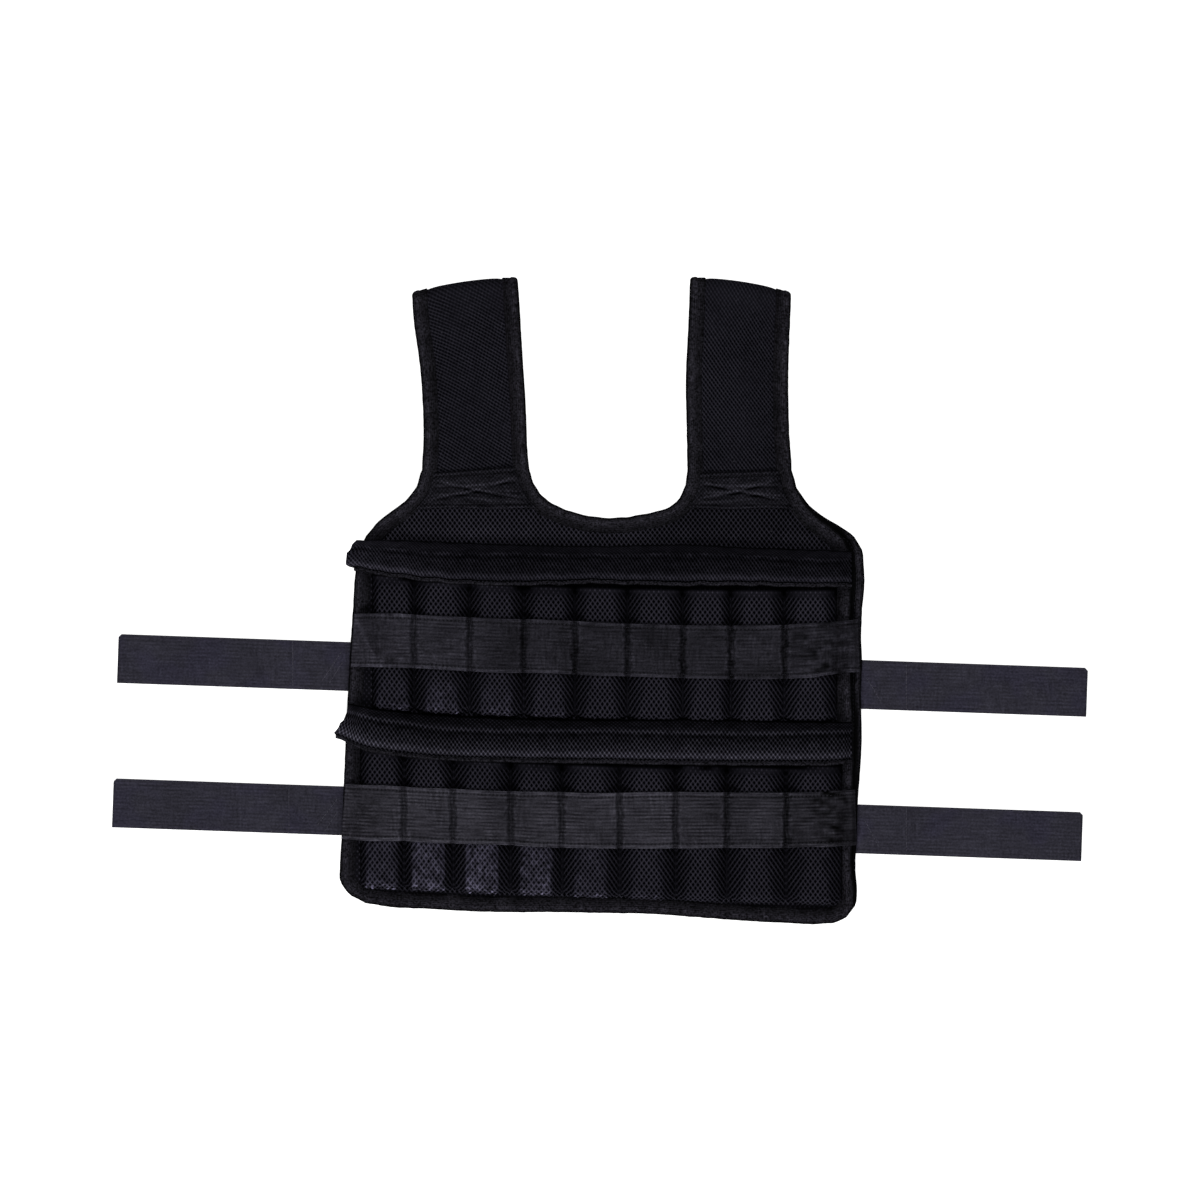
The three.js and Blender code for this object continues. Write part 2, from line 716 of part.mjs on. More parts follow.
// A length of webbing with clipped corners, lying flat
function webbingGeometry() {
  const x = webbingLength / 2;
  const y = webbingWidth / 2;
  const shape = new THREE.Shape();
  shape.moveTo(-x, -y);
  shape.lineTo(x, -y);
  shape.lineTo(x, y - webbingChamfer);
  shape.lineTo(x - webbingChamfer, y);
  shape.lineTo(webbingChamfer - x, y);
  shape.lineTo(-x, y - webbingChamfer);
  shape.closePath();
  return new THREE.ExtrudeGeometry(shape, { depth: webbingThickness, bevelEnabled: false, steps: 1 });
}

function sideStrap(name, { x, belowUpperFlap }) {
  const strap = piece(name, webbingGeometry(), webbing);
  strap.position.set(x, upperFlapSeam - belowUpperFlap, 0);
  strap.rotation.z = webbingTurn;
  return strap;
}

const back = new THREE.Group();
back.add(piece('back_panel', backPanelGeometry(), meshCloth));
back.add(sideStrap('side_strap_upper', upperWebbing));
back.add(sideStrap('side_strap_lower', lowerWebbing));

const front = new THREE.Group();
front.add(piece('front_panel', panelGeometry(frontCut, frontMiddle, frontMiddle), meshCloth));
front.add(piece('upper_pockets', pocketGeometry(upperRow), meshCloth));
front.add(piece('lower_pockets', pocketGeometry(lowerRow), meshCloth));
front.add(...barsOf(upperRow, 'upper'));
front.add(...barsOf(lowerRow, 'lower'));
const upperFlap = flapGeometry(upperRow, upperFlapSeam, upperFlapEnds, upperFlapDrop, upperFlapReach);
const lowerFlap = flapGeometry(lowerRow, lowerFlapSeam, lowerFlapEnds, lowerFlapDrop, lowerFlapReach);
front.add(piece('upper_flap', upperFlap, meshCloth));
front.add(piece('lower_flap', lowerFlap, meshCloth));
front.add(piece('upper_band', bandGeometry(upperRow, upperBandRise), elastic));
front.add(piece('lower_band', bandGeometry(lowerRow, lowerBandRise), elastic));

const shoulders = new THREE.Group();
shoulders.add(piece('shoulder_strap_left', strapGeometry(leftStrap), meshCloth));
shoulders.add(piece('shoulder_strap_right', strapGeometry(rightStrap), meshCloth));

const binding = new THREE.Group();
binding.add(piece('edge_binding', edgeBindingGeometry(), tape));
binding.add(piece('neck_binding', neckBindingGeometry(), tape));

const group = new THREE.Group();
group.add(back, front, shoulders, binding);

// The origin is under the middle of the vest, on the floor
const box = new THREE.Box3().setFromObject(group);
const middle = box.getCenter(new THREE.Vector3());
group.position.set(-middle.x, -middle.y, -box.min.z);

export default group;
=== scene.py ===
import math
import bpy
import bmesh
import numpy as np
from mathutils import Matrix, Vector, geometry, noise
from mathutils.bvhtree import BVHTree


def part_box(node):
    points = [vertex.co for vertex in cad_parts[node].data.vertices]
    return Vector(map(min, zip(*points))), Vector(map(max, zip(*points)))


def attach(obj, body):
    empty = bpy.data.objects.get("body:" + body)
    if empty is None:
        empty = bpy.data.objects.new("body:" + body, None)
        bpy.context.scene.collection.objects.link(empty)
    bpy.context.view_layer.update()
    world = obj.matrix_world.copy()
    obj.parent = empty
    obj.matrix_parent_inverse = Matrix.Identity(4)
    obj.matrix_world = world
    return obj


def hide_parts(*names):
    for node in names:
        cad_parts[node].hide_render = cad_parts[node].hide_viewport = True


# A weighted vest of black air mesh, lying on its back with its side straps spread out.
# Lengths are in millimetres in the vest's own frame; meshes are scaled to metres when they are made.

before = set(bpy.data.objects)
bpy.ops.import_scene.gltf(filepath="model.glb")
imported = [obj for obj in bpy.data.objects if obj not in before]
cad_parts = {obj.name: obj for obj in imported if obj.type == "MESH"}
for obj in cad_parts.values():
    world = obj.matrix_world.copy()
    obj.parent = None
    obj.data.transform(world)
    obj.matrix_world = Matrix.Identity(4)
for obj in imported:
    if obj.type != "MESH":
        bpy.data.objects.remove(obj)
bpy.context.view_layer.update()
scene = bpy.context.scene
mm = 0.001
floorGap = 0.05
rayStart = 200


# numbers and lines

def mix(a, b, t):
    return a + (b - a) * t


def smooth(t):
    t = np.clip(t, 0, 1)
    return t * t * (3 - 2 * t)


def rise(x, start, run):
    # from 0 at the start to 1 at the end of the run
    return smooth((x - start) / run)


def fall(x, start, run):
    return 1 - rise(x, start, run)


def peak(x, middle, width):
    return np.exp(-((x - middle) / width) ** 2)


def wobble(points, size, seed):
    # gentle noise between about -1 and 1, the same on each run, for points in any grid
    flat = points.reshape(-1, points.shape[-1])
    found = [noise.noise(Vector((p[0] / size, p[1] / size, seed))) * 1.4 for p in flat]
    return np.array(found).reshape(points.shape[:-1])


def nodeBox(name):
    low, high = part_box(name)
    return np.array(low) / mm, np.array(high) / mm


def meshPoints(mesh):
    points = np.zeros(len(mesh.vertices) * 3, np.float32)
    mesh.vertices.foreach_get("co", points)
    return points.reshape(-1, 3).astype(float) / mm


def nodePoints(name):
    return meshPoints(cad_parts[name].data)


def lengths(line):
    # length along a line up to each of its points
    steps = np.linalg.norm(np.diff(line, axis=0), axis=1)
    return np.concatenate([[0], np.cumsum(steps)])


def smoothLine(points, spacing):
    # an even curve through the points
    points = np.asarray(points, float)
    at = lengths(points)
    tangent = np.gradient(points, at, axis=0)
    fine = []
    for i in range(len(points) - 1):
        span = at[i + 1] - at[i]
        for t in np.linspace(0, 1, 12, endpoint=False):
            t2, t3 = t * t, t * t * t
            fine.append((2 * t3 - 3 * t2 + 1) * points[i] + (t3 - 2 * t2 + t) * span * tangent[i]
                        + (3 * t2 - 2 * t3) * points[i + 1] + (t3 - t2) * span * tangent[i + 1])
    fine.append(points[-1])
    fine = np.array(fine)
    far = lengths(fine)
    even = np.linspace(0, far[-1], max(2, round(far[-1] / spacing) + 1))
    return np.stack([np.interp(even, far, column) for column in fine.T], axis=1)


def leftNormals(line):
    step = np.gradient(line[:, :2], axis=0)
    step /= np.linalg.norm(step, axis=1)[:, None]
    return np.stack([-step[:, 1], step[:, 0]], axis=1)


def lineThrough(points):
    # a smooth line through a few points, as y over x, level beyond its ends
    line = smoothLine(points, 1.5)
    return lambda x: np.interp(x, line[:, 0], line[:, 1])


# meshes

def link(name, mesh):
    piece = bpy.data.objects.new(name, mesh)
    scene.collection.objects.link(piece)
    return piece


def insideOut(mesh):
    work = bmesh.new()
    work.from_mesh(mesh)
    found = work.calc_volume(signed=True) < 0
    work.free()
    return found


def meshFrom(name, points, faces, uvs, up=None):
    # faces is a list of corner lists, uvs gives one pair for each corner
    mesh = bpy.data.meshes.new(name)
    mesh.from_pydata((np.asarray(points) * mm).tolist(), [], faces)
    layer = mesh.uv_layers.new(name="weave")
    layer.data.foreach_set("uv", np.asarray(uvs, np.float32).ravel())
    mesh.update()
    if sum(face.normal.z for face in mesh.polygons) < 0 if up else insideOut(mesh):
        mesh.flip_normals()
    mesh.polygons.foreach_set("use_smooth", [True] * len(mesh.polygons))
    return link(name, mesh)


def gridPiece(name, grid, uvGrid, closed=False):
    # a sheet from a grid of points, or a capped tube whose uvGrid has one more column than its ring
    rows, columns = grid.shape[:2]
    r, c = np.meshgrid(range(rows - 1), range(columns if closed else columns - 1), indexing="ij")
    r, c = r.ravel(), c.ravel()
    here, below, after = r * columns, (r + 1) * columns, (c + 1) % columns
    faces = np.stack([here + c, here + after, below + after, below + c], axis=1).tolist()
    uvs = np.stack([uvGrid[r, c], uvGrid[r, c + 1], uvGrid[r + 1, c + 1], uvGrid[r + 1, c]], axis=1)
    uvs = uvs.reshape(-1, 2)
    if closed:
        ring = list(range(columns))
        faces += [ring[::-1], [(rows - 1) * columns + k for k in ring]]
        uvs = np.vstack([uvs, uvGrid[0, :columns][::-1], uvGrid[-1, :columns]])
    return meshFrom(name, grid.reshape(-1, 3), faces, uvs, up=not closed)


def setValues(piece, **given):
    # values on the points, for the materials to read
    for name, values in given.items():
        attribute = piece.data.attributes.get(name) or piece.data.attributes.new(name, "FLOAT", "POINT")
        values = np.broadcast_to(np.ravel(values), len(piece.data.vertices))
        attribute.data.foreach_set("value", np.clip(values, -1, 4).astype(np.float32))


def valuesOf(piece, name):
    found = np.zeros(len(piece.data.vertices), np.float32)
    piece.data.attributes[name].data.foreach_get("value", found)
    return found.astype(float)


def setCoordinates(piece, points):
    piece.data.vertices.foreach_set("co", (points * mm).astype(np.float32).ravel())
    piece.data.update()


def keepAboveFloor(piece):
    points = meshPoints(piece.data)
    points[:, 2] = np.maximum(points[:, 2], floorGap)
    setCoordinates(piece, points)


def evaluated(piece):
    bpy.context.view_layer.update()
    return piece.evaluated_get(bpy.context.evaluated_depsgraph_get())


def bake(piece):
    # the piece's modifiers become its mesh
    mesh = bpy.data.meshes.new_from_object(evaluated(piece))
    piece.modifiers.clear()
    piece.data = mesh


def chainPiece(name, points, edges, **values):
    # points joined by edges, with values on them, for a node tree to read
    mesh = bpy.data.meshes.new(name)
    mesh.from_pydata((np.asarray(points) * mm).tolist(), edges, [])
    for label, value in values.items():
        value = np.asarray(value, np.float32)
        kind, key = ("FLOAT_VECTOR", "vector") if value.ndim > 1 else ("FLOAT", "value")
        mesh.attributes.new(label, kind, "POINT").data.foreach_set(key, value.ravel())
    return link(name, mesh)


def growPiece(piece, tree, values):
    # the node tree makes the piece's mesh, with its inputs set by their identifiers
    modifier = piece.modifiers.new(tree.name, "NODES")
    modifier.node_group = tree
    for item in tree.interface.items_tree:
        if item.in_out == "INPUT" and item.name in values:
            modifier[item.identifier] = values[item.name]
    bake(piece)
    piece.data.polygons.foreach_set("use_smooth", [True] * len(piece.data.polygons))
    return piece


def thicken(piece, wall):
    solid = piece.modifiers.new("wall", "SOLIDIFY")
    solid.thickness = wall * mm
    solid.offset = -1
    solid.use_even_offset = False
    bake(piece)


def refine(piece, levels):
    rounding = piece.modifiers.new("rounding", "SUBSURF")
    rounding.levels = levels
    rounding.render_levels = levels
    bake(piece)


def finishPiece(piece, slot, *replaced):
    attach(piece, "root")
    if replaced:
        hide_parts(*replaced)
    return piece


def surfaceOf(*pieces):
    # a height function over finished pieces: the highest point at x, y, and the face's direction
    trees = []
    for piece in pieces:
        work = bmesh.new()
        work.from_mesh(piece.data)
        trees.append(BVHTree.FromBMesh(work))
        work.free()

    def top(x, y, default):
        start, down = Vector((x * mm, y * mm, rayStart * mm)), Vector((0, 0, -1))
        found = [tree.ray_cast(start, down) for tree in trees]
        hits = [(hit[0].z / mm, hit[1]) for hit in found if hit[0] is not None]
        return max(hits, key=lambda hit: hit[0]) if hits else (default, Vector((0, 0, 1)))

    return top


# node trees

class nodeValue:
    # a node's output that is reckoned with as a number is, each step a node of the same tree
    def __init__(self, socket):
        self.socket = socket

    def __add__(self, other):
        return calc("ADD", self, other)

    def __radd__(self, other):
        return calc("ADD", other, self)

    def __sub__(self, other):
        return calc("SUBTRACT", self, other)

    def __rsub__(self, other):
        return calc("SUBTRACT", other, self)

    def __mul__(self, other):
        return calc("MULTIPLY", self, other)

    def __truediv__(self, other):
        return calc("DIVIDE", self, other)


def feed(socket, value):
    # another node's output is linked to the socket, and anything else is set on it
    if isinstance(value, nodeValue):
        socket.id_data.links.new(value.socket, socket)
    else:
        socket.default_value = value


def addNode(tree, kind, given=None, **settings):
    # gives back a function that finds the node's outputs by name or number
    node = tree.nodes.new(kind)
    for key, value in settings.items():
        setattr(node, key, value)
    for key, value in (given or {}).items():
        feed(node.inputs[key], value)
    return lambda key=0: nodeValue(node.outputs[key])


def calc(operation, *values):
    tree = next(value.socket.id_data for value in values if isinstance(value, nodeValue))
    return addNode(tree, "ShaderNodeMath", dict(enumerate(values)), operation=operation)()


def newTree(kind, name, inputs):
    # inputs gives each socket's name and its value, or its kind in words
    tree = bpy.data.node_groups.new(name, kind)
    for label, value in inputs.items():
        socketType = value if isinstance(value, str) else "Int" if isinstance(value, int) else "Float"
        socket = tree.interface.new_socket(label, in_out="INPUT", socket_type=f"NodeSocket{socketType}")
        if not isinstance(value, str):
            socket.default_value = value
    return tree, addNode(tree, "NodeGroupInput")


def finishTree(tree, kind="Float", **outputs):
    for label in outputs:
        tree.interface.new_socket(label, in_out="OUTPUT", socket_type=f"NodeSocket{kind}")
    addNode(tree, "NodeGroupOutput", outputs)
    return tree


def finishGrown(tree, made, material, label):
    # a tree that makes a piece ends in a real mesh with its material
    real = addNode(tree, "GeometryNodeRealizeInstances", {"Geometry": made})()
    coloured = addNode(tree, "GeometryNodeSetMaterial", {"Geometry": real, "Material": material})()
    tree.is_modifier = True
    return finishTree(tree, "Geometry", **{label: coloured})


def ramp(value, low, high, start=0.0, end=1.0):
    given = {"Value": value, "From Min": low, "From Max": high, "To Min": start, "To Max": end}
    tree = value.socket.id_data
    return addNode(tree, "ShaderNodeMapRange", given, interpolation_type="SMOOTHSTEP")("Result")


def noiseOf(place, scale, detail=2.0, output="Fac"):
    tree = place.socket.id_data
    return addNode(tree, "ShaderNodeTexNoise", {"Vector": place, "Scale": scale, "Detail": detail})(output)


def stretched(place, scale):
    return addNode(place.socket.id_data, "ShaderNodeMapping", {"Vector": place, "Scale": scale})()


def vectorStep(operation, first, second):
    given = {0: first, "Scale" if operation == "SCALE" else 1: second}
    return addNode(first.socket.id_data, "ShaderNodeVectorMath", given, operation=operation)()


def split(place):
    parts = addNode(place.socket.id_data, "ShaderNodeSeparateXYZ", {0: place})
    return parts("X"), parts("Y")


def wave(turns):
    # a cosine between 0 and 1
    return calc("COSINE", turns * (2 * math.pi)) * 0.5 + 0.5


# shader groups, used by more than one material

def makeNetWeave():
    # air mesh: two families of threads that cross in a staggered net of holes
    # Lean lets one family stand out, down to the right at 1 and up to the right at -1
    tree, given = newTree("ShaderNodeTree", "netWeave", {
        "Place": "Vector", "Across": 4.1, "Along": 2.8, "Thread": 0.55, "Turn": 0.0, "Stray": 0.5,
        "Lean": 0.0, "Pressed": 0.0})
    stray = vectorStep("SUBTRACT", noiseOf(given("Place"), 0.06, 3.0, "Color"), (0.5, 0.5, 0.5))
    moved = vectorStep("ADD", given("Place"), vectorStep("SCALE", stray, given("Stray")))
    turn = {"Vector": moved, "Angle": given("Turn")}
    x, y = split(addNode(tree, "ShaderNodeVectorRotate", turn, rotation_type="Z_AXIS")())
    across, along = x / given("Across"), y / given("Along") / 2.0
    ridges = []
    for diagonal, sign in ((across + along, -1.0), (across - along, 1.0)):
        middle = calc("ABSOLUTE", calc("FRACT", diagonal) - 0.5)
        ridge = ramp(middle * 2.0, given("Thread") * 0.35, given("Thread"), 1.0, 0.0)
        against = calc("MAXIMUM", given("Lean") * sign, 0.0)
        ridges.append(ridge * (1.0 - against * 0.8))
    knot = ridges[0] * ridges[1]
    fuzz = ramp(noiseOf(given("Place"), 0.9), 0.25, 0.75, 0.72, 1.2)
    thread = calc("MAXIMUM", *ridges) * fuzz
    thread = thread + (0.42 - thread) * given("Pressed")
    return finishTree(tree, Height=thread + knot * 0.4, Thread=thread, Knot=knot)


def makeRibWeave():
    # ribs that run along the length, crossed by a fine yarn
    tree, given = newTree("ShaderNodeTree", "ribWeave", {
        "Place": "Vector", "Rib": 3.0, "Yarn": 1.1, "Stray": 0.4})
    place = given("Place")
    x, y = split(place)
    rib = (y + (noiseOf(place, 0.03) - 0.5) * given("Stray")) / given("Rib")
    shifted = x / given("Yarn") + calc("ROUND", rib) * 0.5
    height = wave(rib) * (wave(shifted) * 0.35 + 0.65)
    streak = noiseOf(stretched(place, (0.08, 1.0, 1.0)), 0.55, 3.0)
    clear = ramp(noiseOf(place, 0.06, 3.0), 0.35, 0.7, 0.15, 0.85)
    light = (height - 0.42) * clear + 0.3 + (streak - 0.3) * 1.0
    return finishTree(tree, Height=height, Light=light)


def makeClothTone():
    # slow change of tone over the cloth, and the odd bit of lint
    tree, given = newTree("ShaderNodeTree", "clothTone", {
        "Place": "Vector", "Change": 0.25, "Grain": 0.2, "Lint": 0.5})
    place = given("Place")
    both = noiseOf(place, 18.0) * 0.6 + noiseOf(place, 110.0) * 0.4
    tone = 1.0 + (both - 0.5) * (given("Change") * 4.0)
    grain = (noiseOf(place, 620.0, 3.0) - 0.5) * (given("Grain") * 4.0)
    specks = addNode(tree, "ShaderNodeTexVoronoi", {"Vector": place, "Scale": 60.0})("Distance")
    lint = ramp(specks, 0.02, 0.06, 1.0, 0.0) * given("Lint")
    return finishTree(tree, Tone=calc("MAXIMUM", tone + grain, 0.1), Lint=lint)


def makeSelvedge():
    # the firm edges of a band: a painted highlight along the rim, and a dark dotted line of painted shade
    # where the stitches pull in
    tree, given = newTree("ShaderNodeTree", "selvedge", {
        "Place": "Vector", "Half width": 21.7, "Inset": 3.4, "Pitch": 3.2})
    x, y = split(given("Place"))
    fromEdge = given("Half width") - calc("ABSOLUTE", y)
    line = ramp(calc("ABSOLUTE", fromEdge - given("Inset")), 0.3, 1.3, 1.0, 0.0)
    dots = ramp(calc("COSINE", x / given("Pitch") * (2 * math.pi)), -0.6, 0.7, 0.25, 1.0)
    return finishTree(tree, Tone=1.0 - line * dots * 0.6 + ramp(fromEdge, 1.2, 3.0, 0.7, 0.0))


def makeStreaks():
    # broken streaks, lengthwise in some patches and crosswise in others
    tree, given = newTree("ShaderNodeTree", "streaks", {"Place": "Vector", "Amount": 0.4})
    place = given("Place")
    lengthwise = noiseOf(stretched(place, (0.12, 1, 1)), 470.0)
    crosswise = noiseOf(stretched(place, (1, 0.16, 1)), 470.0)
    share = ramp(noiseOf(place, 34.0), 0.42, 0.6)
    both = lengthwise * (1.0 - share) + crosswise * share
    change = (both - 0.5) * (given("Amount") * 5.0)
    return finishTree(tree, Tone=calc("MAXIMUM", 1.0 + change, 0.2))


netWeave = makeNetWeave()
ribWeave = makeRibWeave()
selvedge = makeSelvedge()
clothTone = makeClothTone()
streaks = makeStreaks()


# materials

def srgb(red, green, blue):
    def linear(value):
        value /= 255
        return value / 12.92 if value <= 0.04045 else ((value + 0.055) / 1.055) ** 2.4
    return (linear(red), linear(green), linear(blue), 1)


def newMaterial(name):
    material = bpy.data.materials.new(name)
    material.use_nodes = True
    return material, material.node_tree, material.node_tree.nodes["Principled BSDF"].inputs


def mixColor(tree, factor, first, second, blend="MIX"):
    given = {"Factor": factor, "A": first, "B": second}
    return addNode(tree, "ShaderNodeMix", given, data_type="RGBA", blend_type=blend)("Result")


def scaleColor(tree, color, factor):
    # multiplies a colour by a value
    grey = addNode(tree, "ShaderNodeCombineColor", {0: factor, 1: factor, 2: factor})()
    return mixColor(tree, 1.0, color, grey, "MULTIPLY")


def addGroup(tree, group, place, given):
    return addNode(tree, "ShaderNodeGroup", {"Place": place, **given}, node_tree=group)


def weavePlace(tree):
    return addNode(tree, "ShaderNodeUVMap", uv_map="weave")()


def objectPlace(tree):
    return addNode(tree, "ShaderNodeTexCoord")("Object")


def surfaceValue(tree, name):
    return addNode(tree, "ShaderNodeAttribute", attribute_name=name)("Fac")


def bump(tree, height, distance, strength):
    given = {"Height": height, "Distance": distance * mm, "Strength": strength}
    return addNode(tree, "ShaderNodeBump", given)()


def finishCloth(tree, shader, color, height, style):
    tone = addGroup(tree, clothTone, objectPlace(tree), {
        "Change": style["change"], "Grain": style["grain"], "Lint": style["lint"]})
    color = scaleColor(tree, color, tone("Tone") * (1.0 + surfaceValue(tree, "shade")))
    feed(shader["Base Color"], mixColor(tree, tone("Lint"), color, srgb(*style["lintColor"])))
    feed(shader["Roughness"], style["roughness"] - height * 0.12)
    feed(shader["Specular IOR Level"], style["gloss"])
    feed(shader["Normal"], bump(tree, height, style["relief"], style["strength"]))


meshStyle = {"across": 4.1, "along": 2.8, "thread": 0.58, "stray": 0.9, "turn": 0.0,
             "threadColor": (30, 29, 35), "knotColor": (40, 38, 46), "holeColor": (1, 1, 2),
             "glowColor": (86, 83, 101), "change": 0.3, "grain": 0.2, "lint": 0.3, "lintColor": (60, 59, 66),
             "roughness": 0.95, "gloss": 0.0, "relief": 0.5, "strength": 0.8}


def meshMaterial(name, **changes):
    style = {**meshStyle, **changes}
    material, tree, shader = newMaterial(name)
    net = addGroup(tree, netWeave, weavePlace(tree), {
        "Across": style["across"], "Along": style["along"], "Thread": style["thread"],
        "Turn": math.radians(style["turn"]), "Stray": style["stray"], "Lean": surfaceValue(tree, "lean"),
        "Pressed": surfaceValue(tree, "pressed")})
    color = mixColor(tree, net("Thread"), srgb(*style["holeColor"]), srgb(*style["threadColor"]))
    color = mixColor(tree, net("Knot"), color, srgb(*style["knotColor"]))
    # a painted glint, as of the steel bars catching the light through the net
    shine = surfaceValue(tree, "steelShine") * (net("Thread") * 0.8 + 0.2)
    color = mixColor(tree, shine, color, srgb(*style["glowColor"]))
    finishCloth(tree, shader, color, net("Height"), style)
    return material


ribStyle = {"rib": 2.8, "yarn": 1.2, "stray": 1.6, "darkColor": (23, 22, 26), "lightColor": (37, 36, 42),
            "tintColor": (38, 35, 56), "tint": 0.0, "streaks": 0.0, "change": 0.3, "grain": 0.3, "lint": 0.3,
            "lintColor": (60, 59, 68), "seamInset": 0.0, "halfWidth": 0.0, "seamPitch": 3.2, "roughness": 0.9,
            "gloss": 0.03, "relief": 0.3, "strength": 0.7}


def ribMaterial(name, **changes):
    style = {**ribStyle, **changes}
    material, tree, shader = newMaterial(name)
    rib = addGroup(tree, ribWeave, weavePlace(tree), {
        "Rib": style["rib"], "Yarn": style["yarn"], "Stray": style["stray"]})
    color = mixColor(tree, rib("Light"), srgb(*style["darkColor"]), srgb(*style["lightColor"]))
    if style["halfWidth"]:
        edges = addGroup(tree, selvedge, weavePlace(tree), {
            "Half width": style["halfWidth"], "Inset": style["seamInset"], "Pitch": style["seamPitch"]})
        color = scaleColor(tree, color, edges("Tone"))
    if style["tint"]:
        patch = ramp(noiseOf(objectPlace(tree), 26.0), 0.45, 0.62, 0.0, style["tint"])
        color = mixColor(tree, patch, color, srgb(*style["tintColor"]))
    if style["streaks"]:
        worn = addGroup(tree, streaks, objectPlace(tree), {"Amount": style["streaks"]})
        color = scaleColor(tree, color, worn("Tone"))
    finishCloth(tree, shader, color, rib("Height"), style)
    return material


def steelMaterial():
    material, tree, shader = newMaterial("barSteel")
    place = objectPlace(tree)
    streak = noiseOf(stretched(place, (1, 0.06, 1)), 900.0, 3.0)
    cloud = noiseOf(place, 60.0, 3.0)
    feed(shader["Base Color"], mixColor(tree, cloud, srgb(70, 72, 80), srgb(126, 129, 140)))
    feed(shader["Roughness"], ramp(streak, 0.3, 0.7, 0.32, 0.5))
    feed(shader["Metallic"], 1)
    feed(shader["Normal"], bump(tree, streak, 0.05, 0.4))
    return material


pocketMesh = meshMaterial("pocketMesh")
panelMesh = meshMaterial("panelMesh", across=4.0, along=2.6, thread=0.53, threadColor=(33, 32, 38),
                         knotColor=(48, 46, 55))
flapMeshes = {
    "upper": meshMaterial("upperFlapMesh", across=3.1, along=2.2, threadColor=(23, 22, 27),
                          knotColor=(31, 30, 36), holeColor=(2, 2, 3), grain=0.5),
    "lower": meshMaterial("lowerFlapMesh", across=3.7, along=2.6, thread=0.53, threadColor=(28, 27, 32),
                          knotColor=(47, 46, 54), grain=0.4)}
looseWeave = {"threadColor": (31, 30, 36), "knotColor": (41, 40, 47), "holeColor": (3, 3, 5), "thread": 0.62,
              "grain": 0.4}
strapMeshes = {"left": meshMaterial("leftStrapMesh", across=3.25, along=2.2, turn=-20, **looseWeave),
               "right": meshMaterial("rightStrapMesh", across=3.3, along=2.2, turn=0, **looseWeave)}
yokeMesh = meshMaterial("yokeMesh", across=3.2, along=1.8, threadColor=(27, 26, 31), knotColor=(36, 35, 41),
                        holeColor=(8, 8, 10), grain=0.7)
tapeTwill = ribMaterial("tapeTwill", rib=1.7, yarn=1.1, darkColor=(11, 10, 13), lightColor=(28, 27, 32),
                        relief=0.2, grain=1.5)
bandEdges = {"halfWidth": 22.0, "seamInset": 3.3}
bandElastics = {
    "upper": ribMaterial("upperBandElastic", darkColor=(20, 19, 24), lightColor=(40, 39, 45), streaks=0.38,
                         grain=0.5, **bandEdges),
    "lower": ribMaterial("lowerBandElastic", darkColor=(12, 11, 15), lightColor=(47, 46, 52), streaks=0.3,
                         grain=0.4, **bandEdges)}
strapWebbing = ribMaterial("strapWebbing", rib=3.0, yarn=1.5, darkColor=(32, 31, 37), lightColor=(44, 43, 52),
                           relief=0.16, change=0.2, grain=0.4, streaks=0.2, tint=0.2)
twist = {"rib": 0.4, "yarn": 0.3, "relief": 0.1}
threadTwist = ribMaterial("threadTwist", darkColor=(19, 18, 22), lightColor=(38, 37, 43), **twist)
threadPale = ribMaterial("threadPale", darkColor=(45, 44, 52), lightColor=(62, 61, 70), **twist)
barSteel = steelMaterial()

for name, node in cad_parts.items():
    if "_bar_" in name:
        for slot in node.material_slots:
            slot.material = barSteel
print("materials made")


# the layout, read from the frame

seat, barTop = [corner[2] for corner in nodeBox("upper_bar_1")]
crest = nodeBox("upper_flap")[1][2] - 2.0
pocketTop = nodeBox("upper_pockets")[1][2]
frontLow, frontHigh = nodeBox("front_panel")
backLow, backHigh = nodeBox("back_panel")
frontMiddle = (frontLow[2] + frontHigh[2]) / 2
backMiddle = (backLow[2] + backHigh[2]) / 2
backPoints = nodePoints("back_panel")
backRim = backPoints[backPoints[:, 0] > backHigh[0] - 0.01][:, 2].mean()


def readRow(name):
    bars = [nodeBox(f"{name}_bar_{i + 1}") for i in range(9)]
    centres = [(low[0] + high[0]) / 2 for low, high in bars]
    seams = [nodeBox(f"{name}_pockets")[0][0]]
    for centre in centres:
        seams.append(2 * centre - seams[-1])
    picks = (0, 4, 8)
    feet = [bars[i][0][1] - pocketStyle["footRoom"] for i in picks]
    foot = np.polyfit([centres[i] for i in picks], feet, 2)
    row = {"name": name, "centres": centres, "seams": seams, "left": seams[0], "right": seams[-1],
           "barWidth": bars[0][1][0] - bars[0][0][0], "barLength": bars[0][1][1] - bars[0][0][1]}
    row["footAt"] = lambda x: np.polyval(foot, np.clip(x, row["left"], row["right"]))
    return row


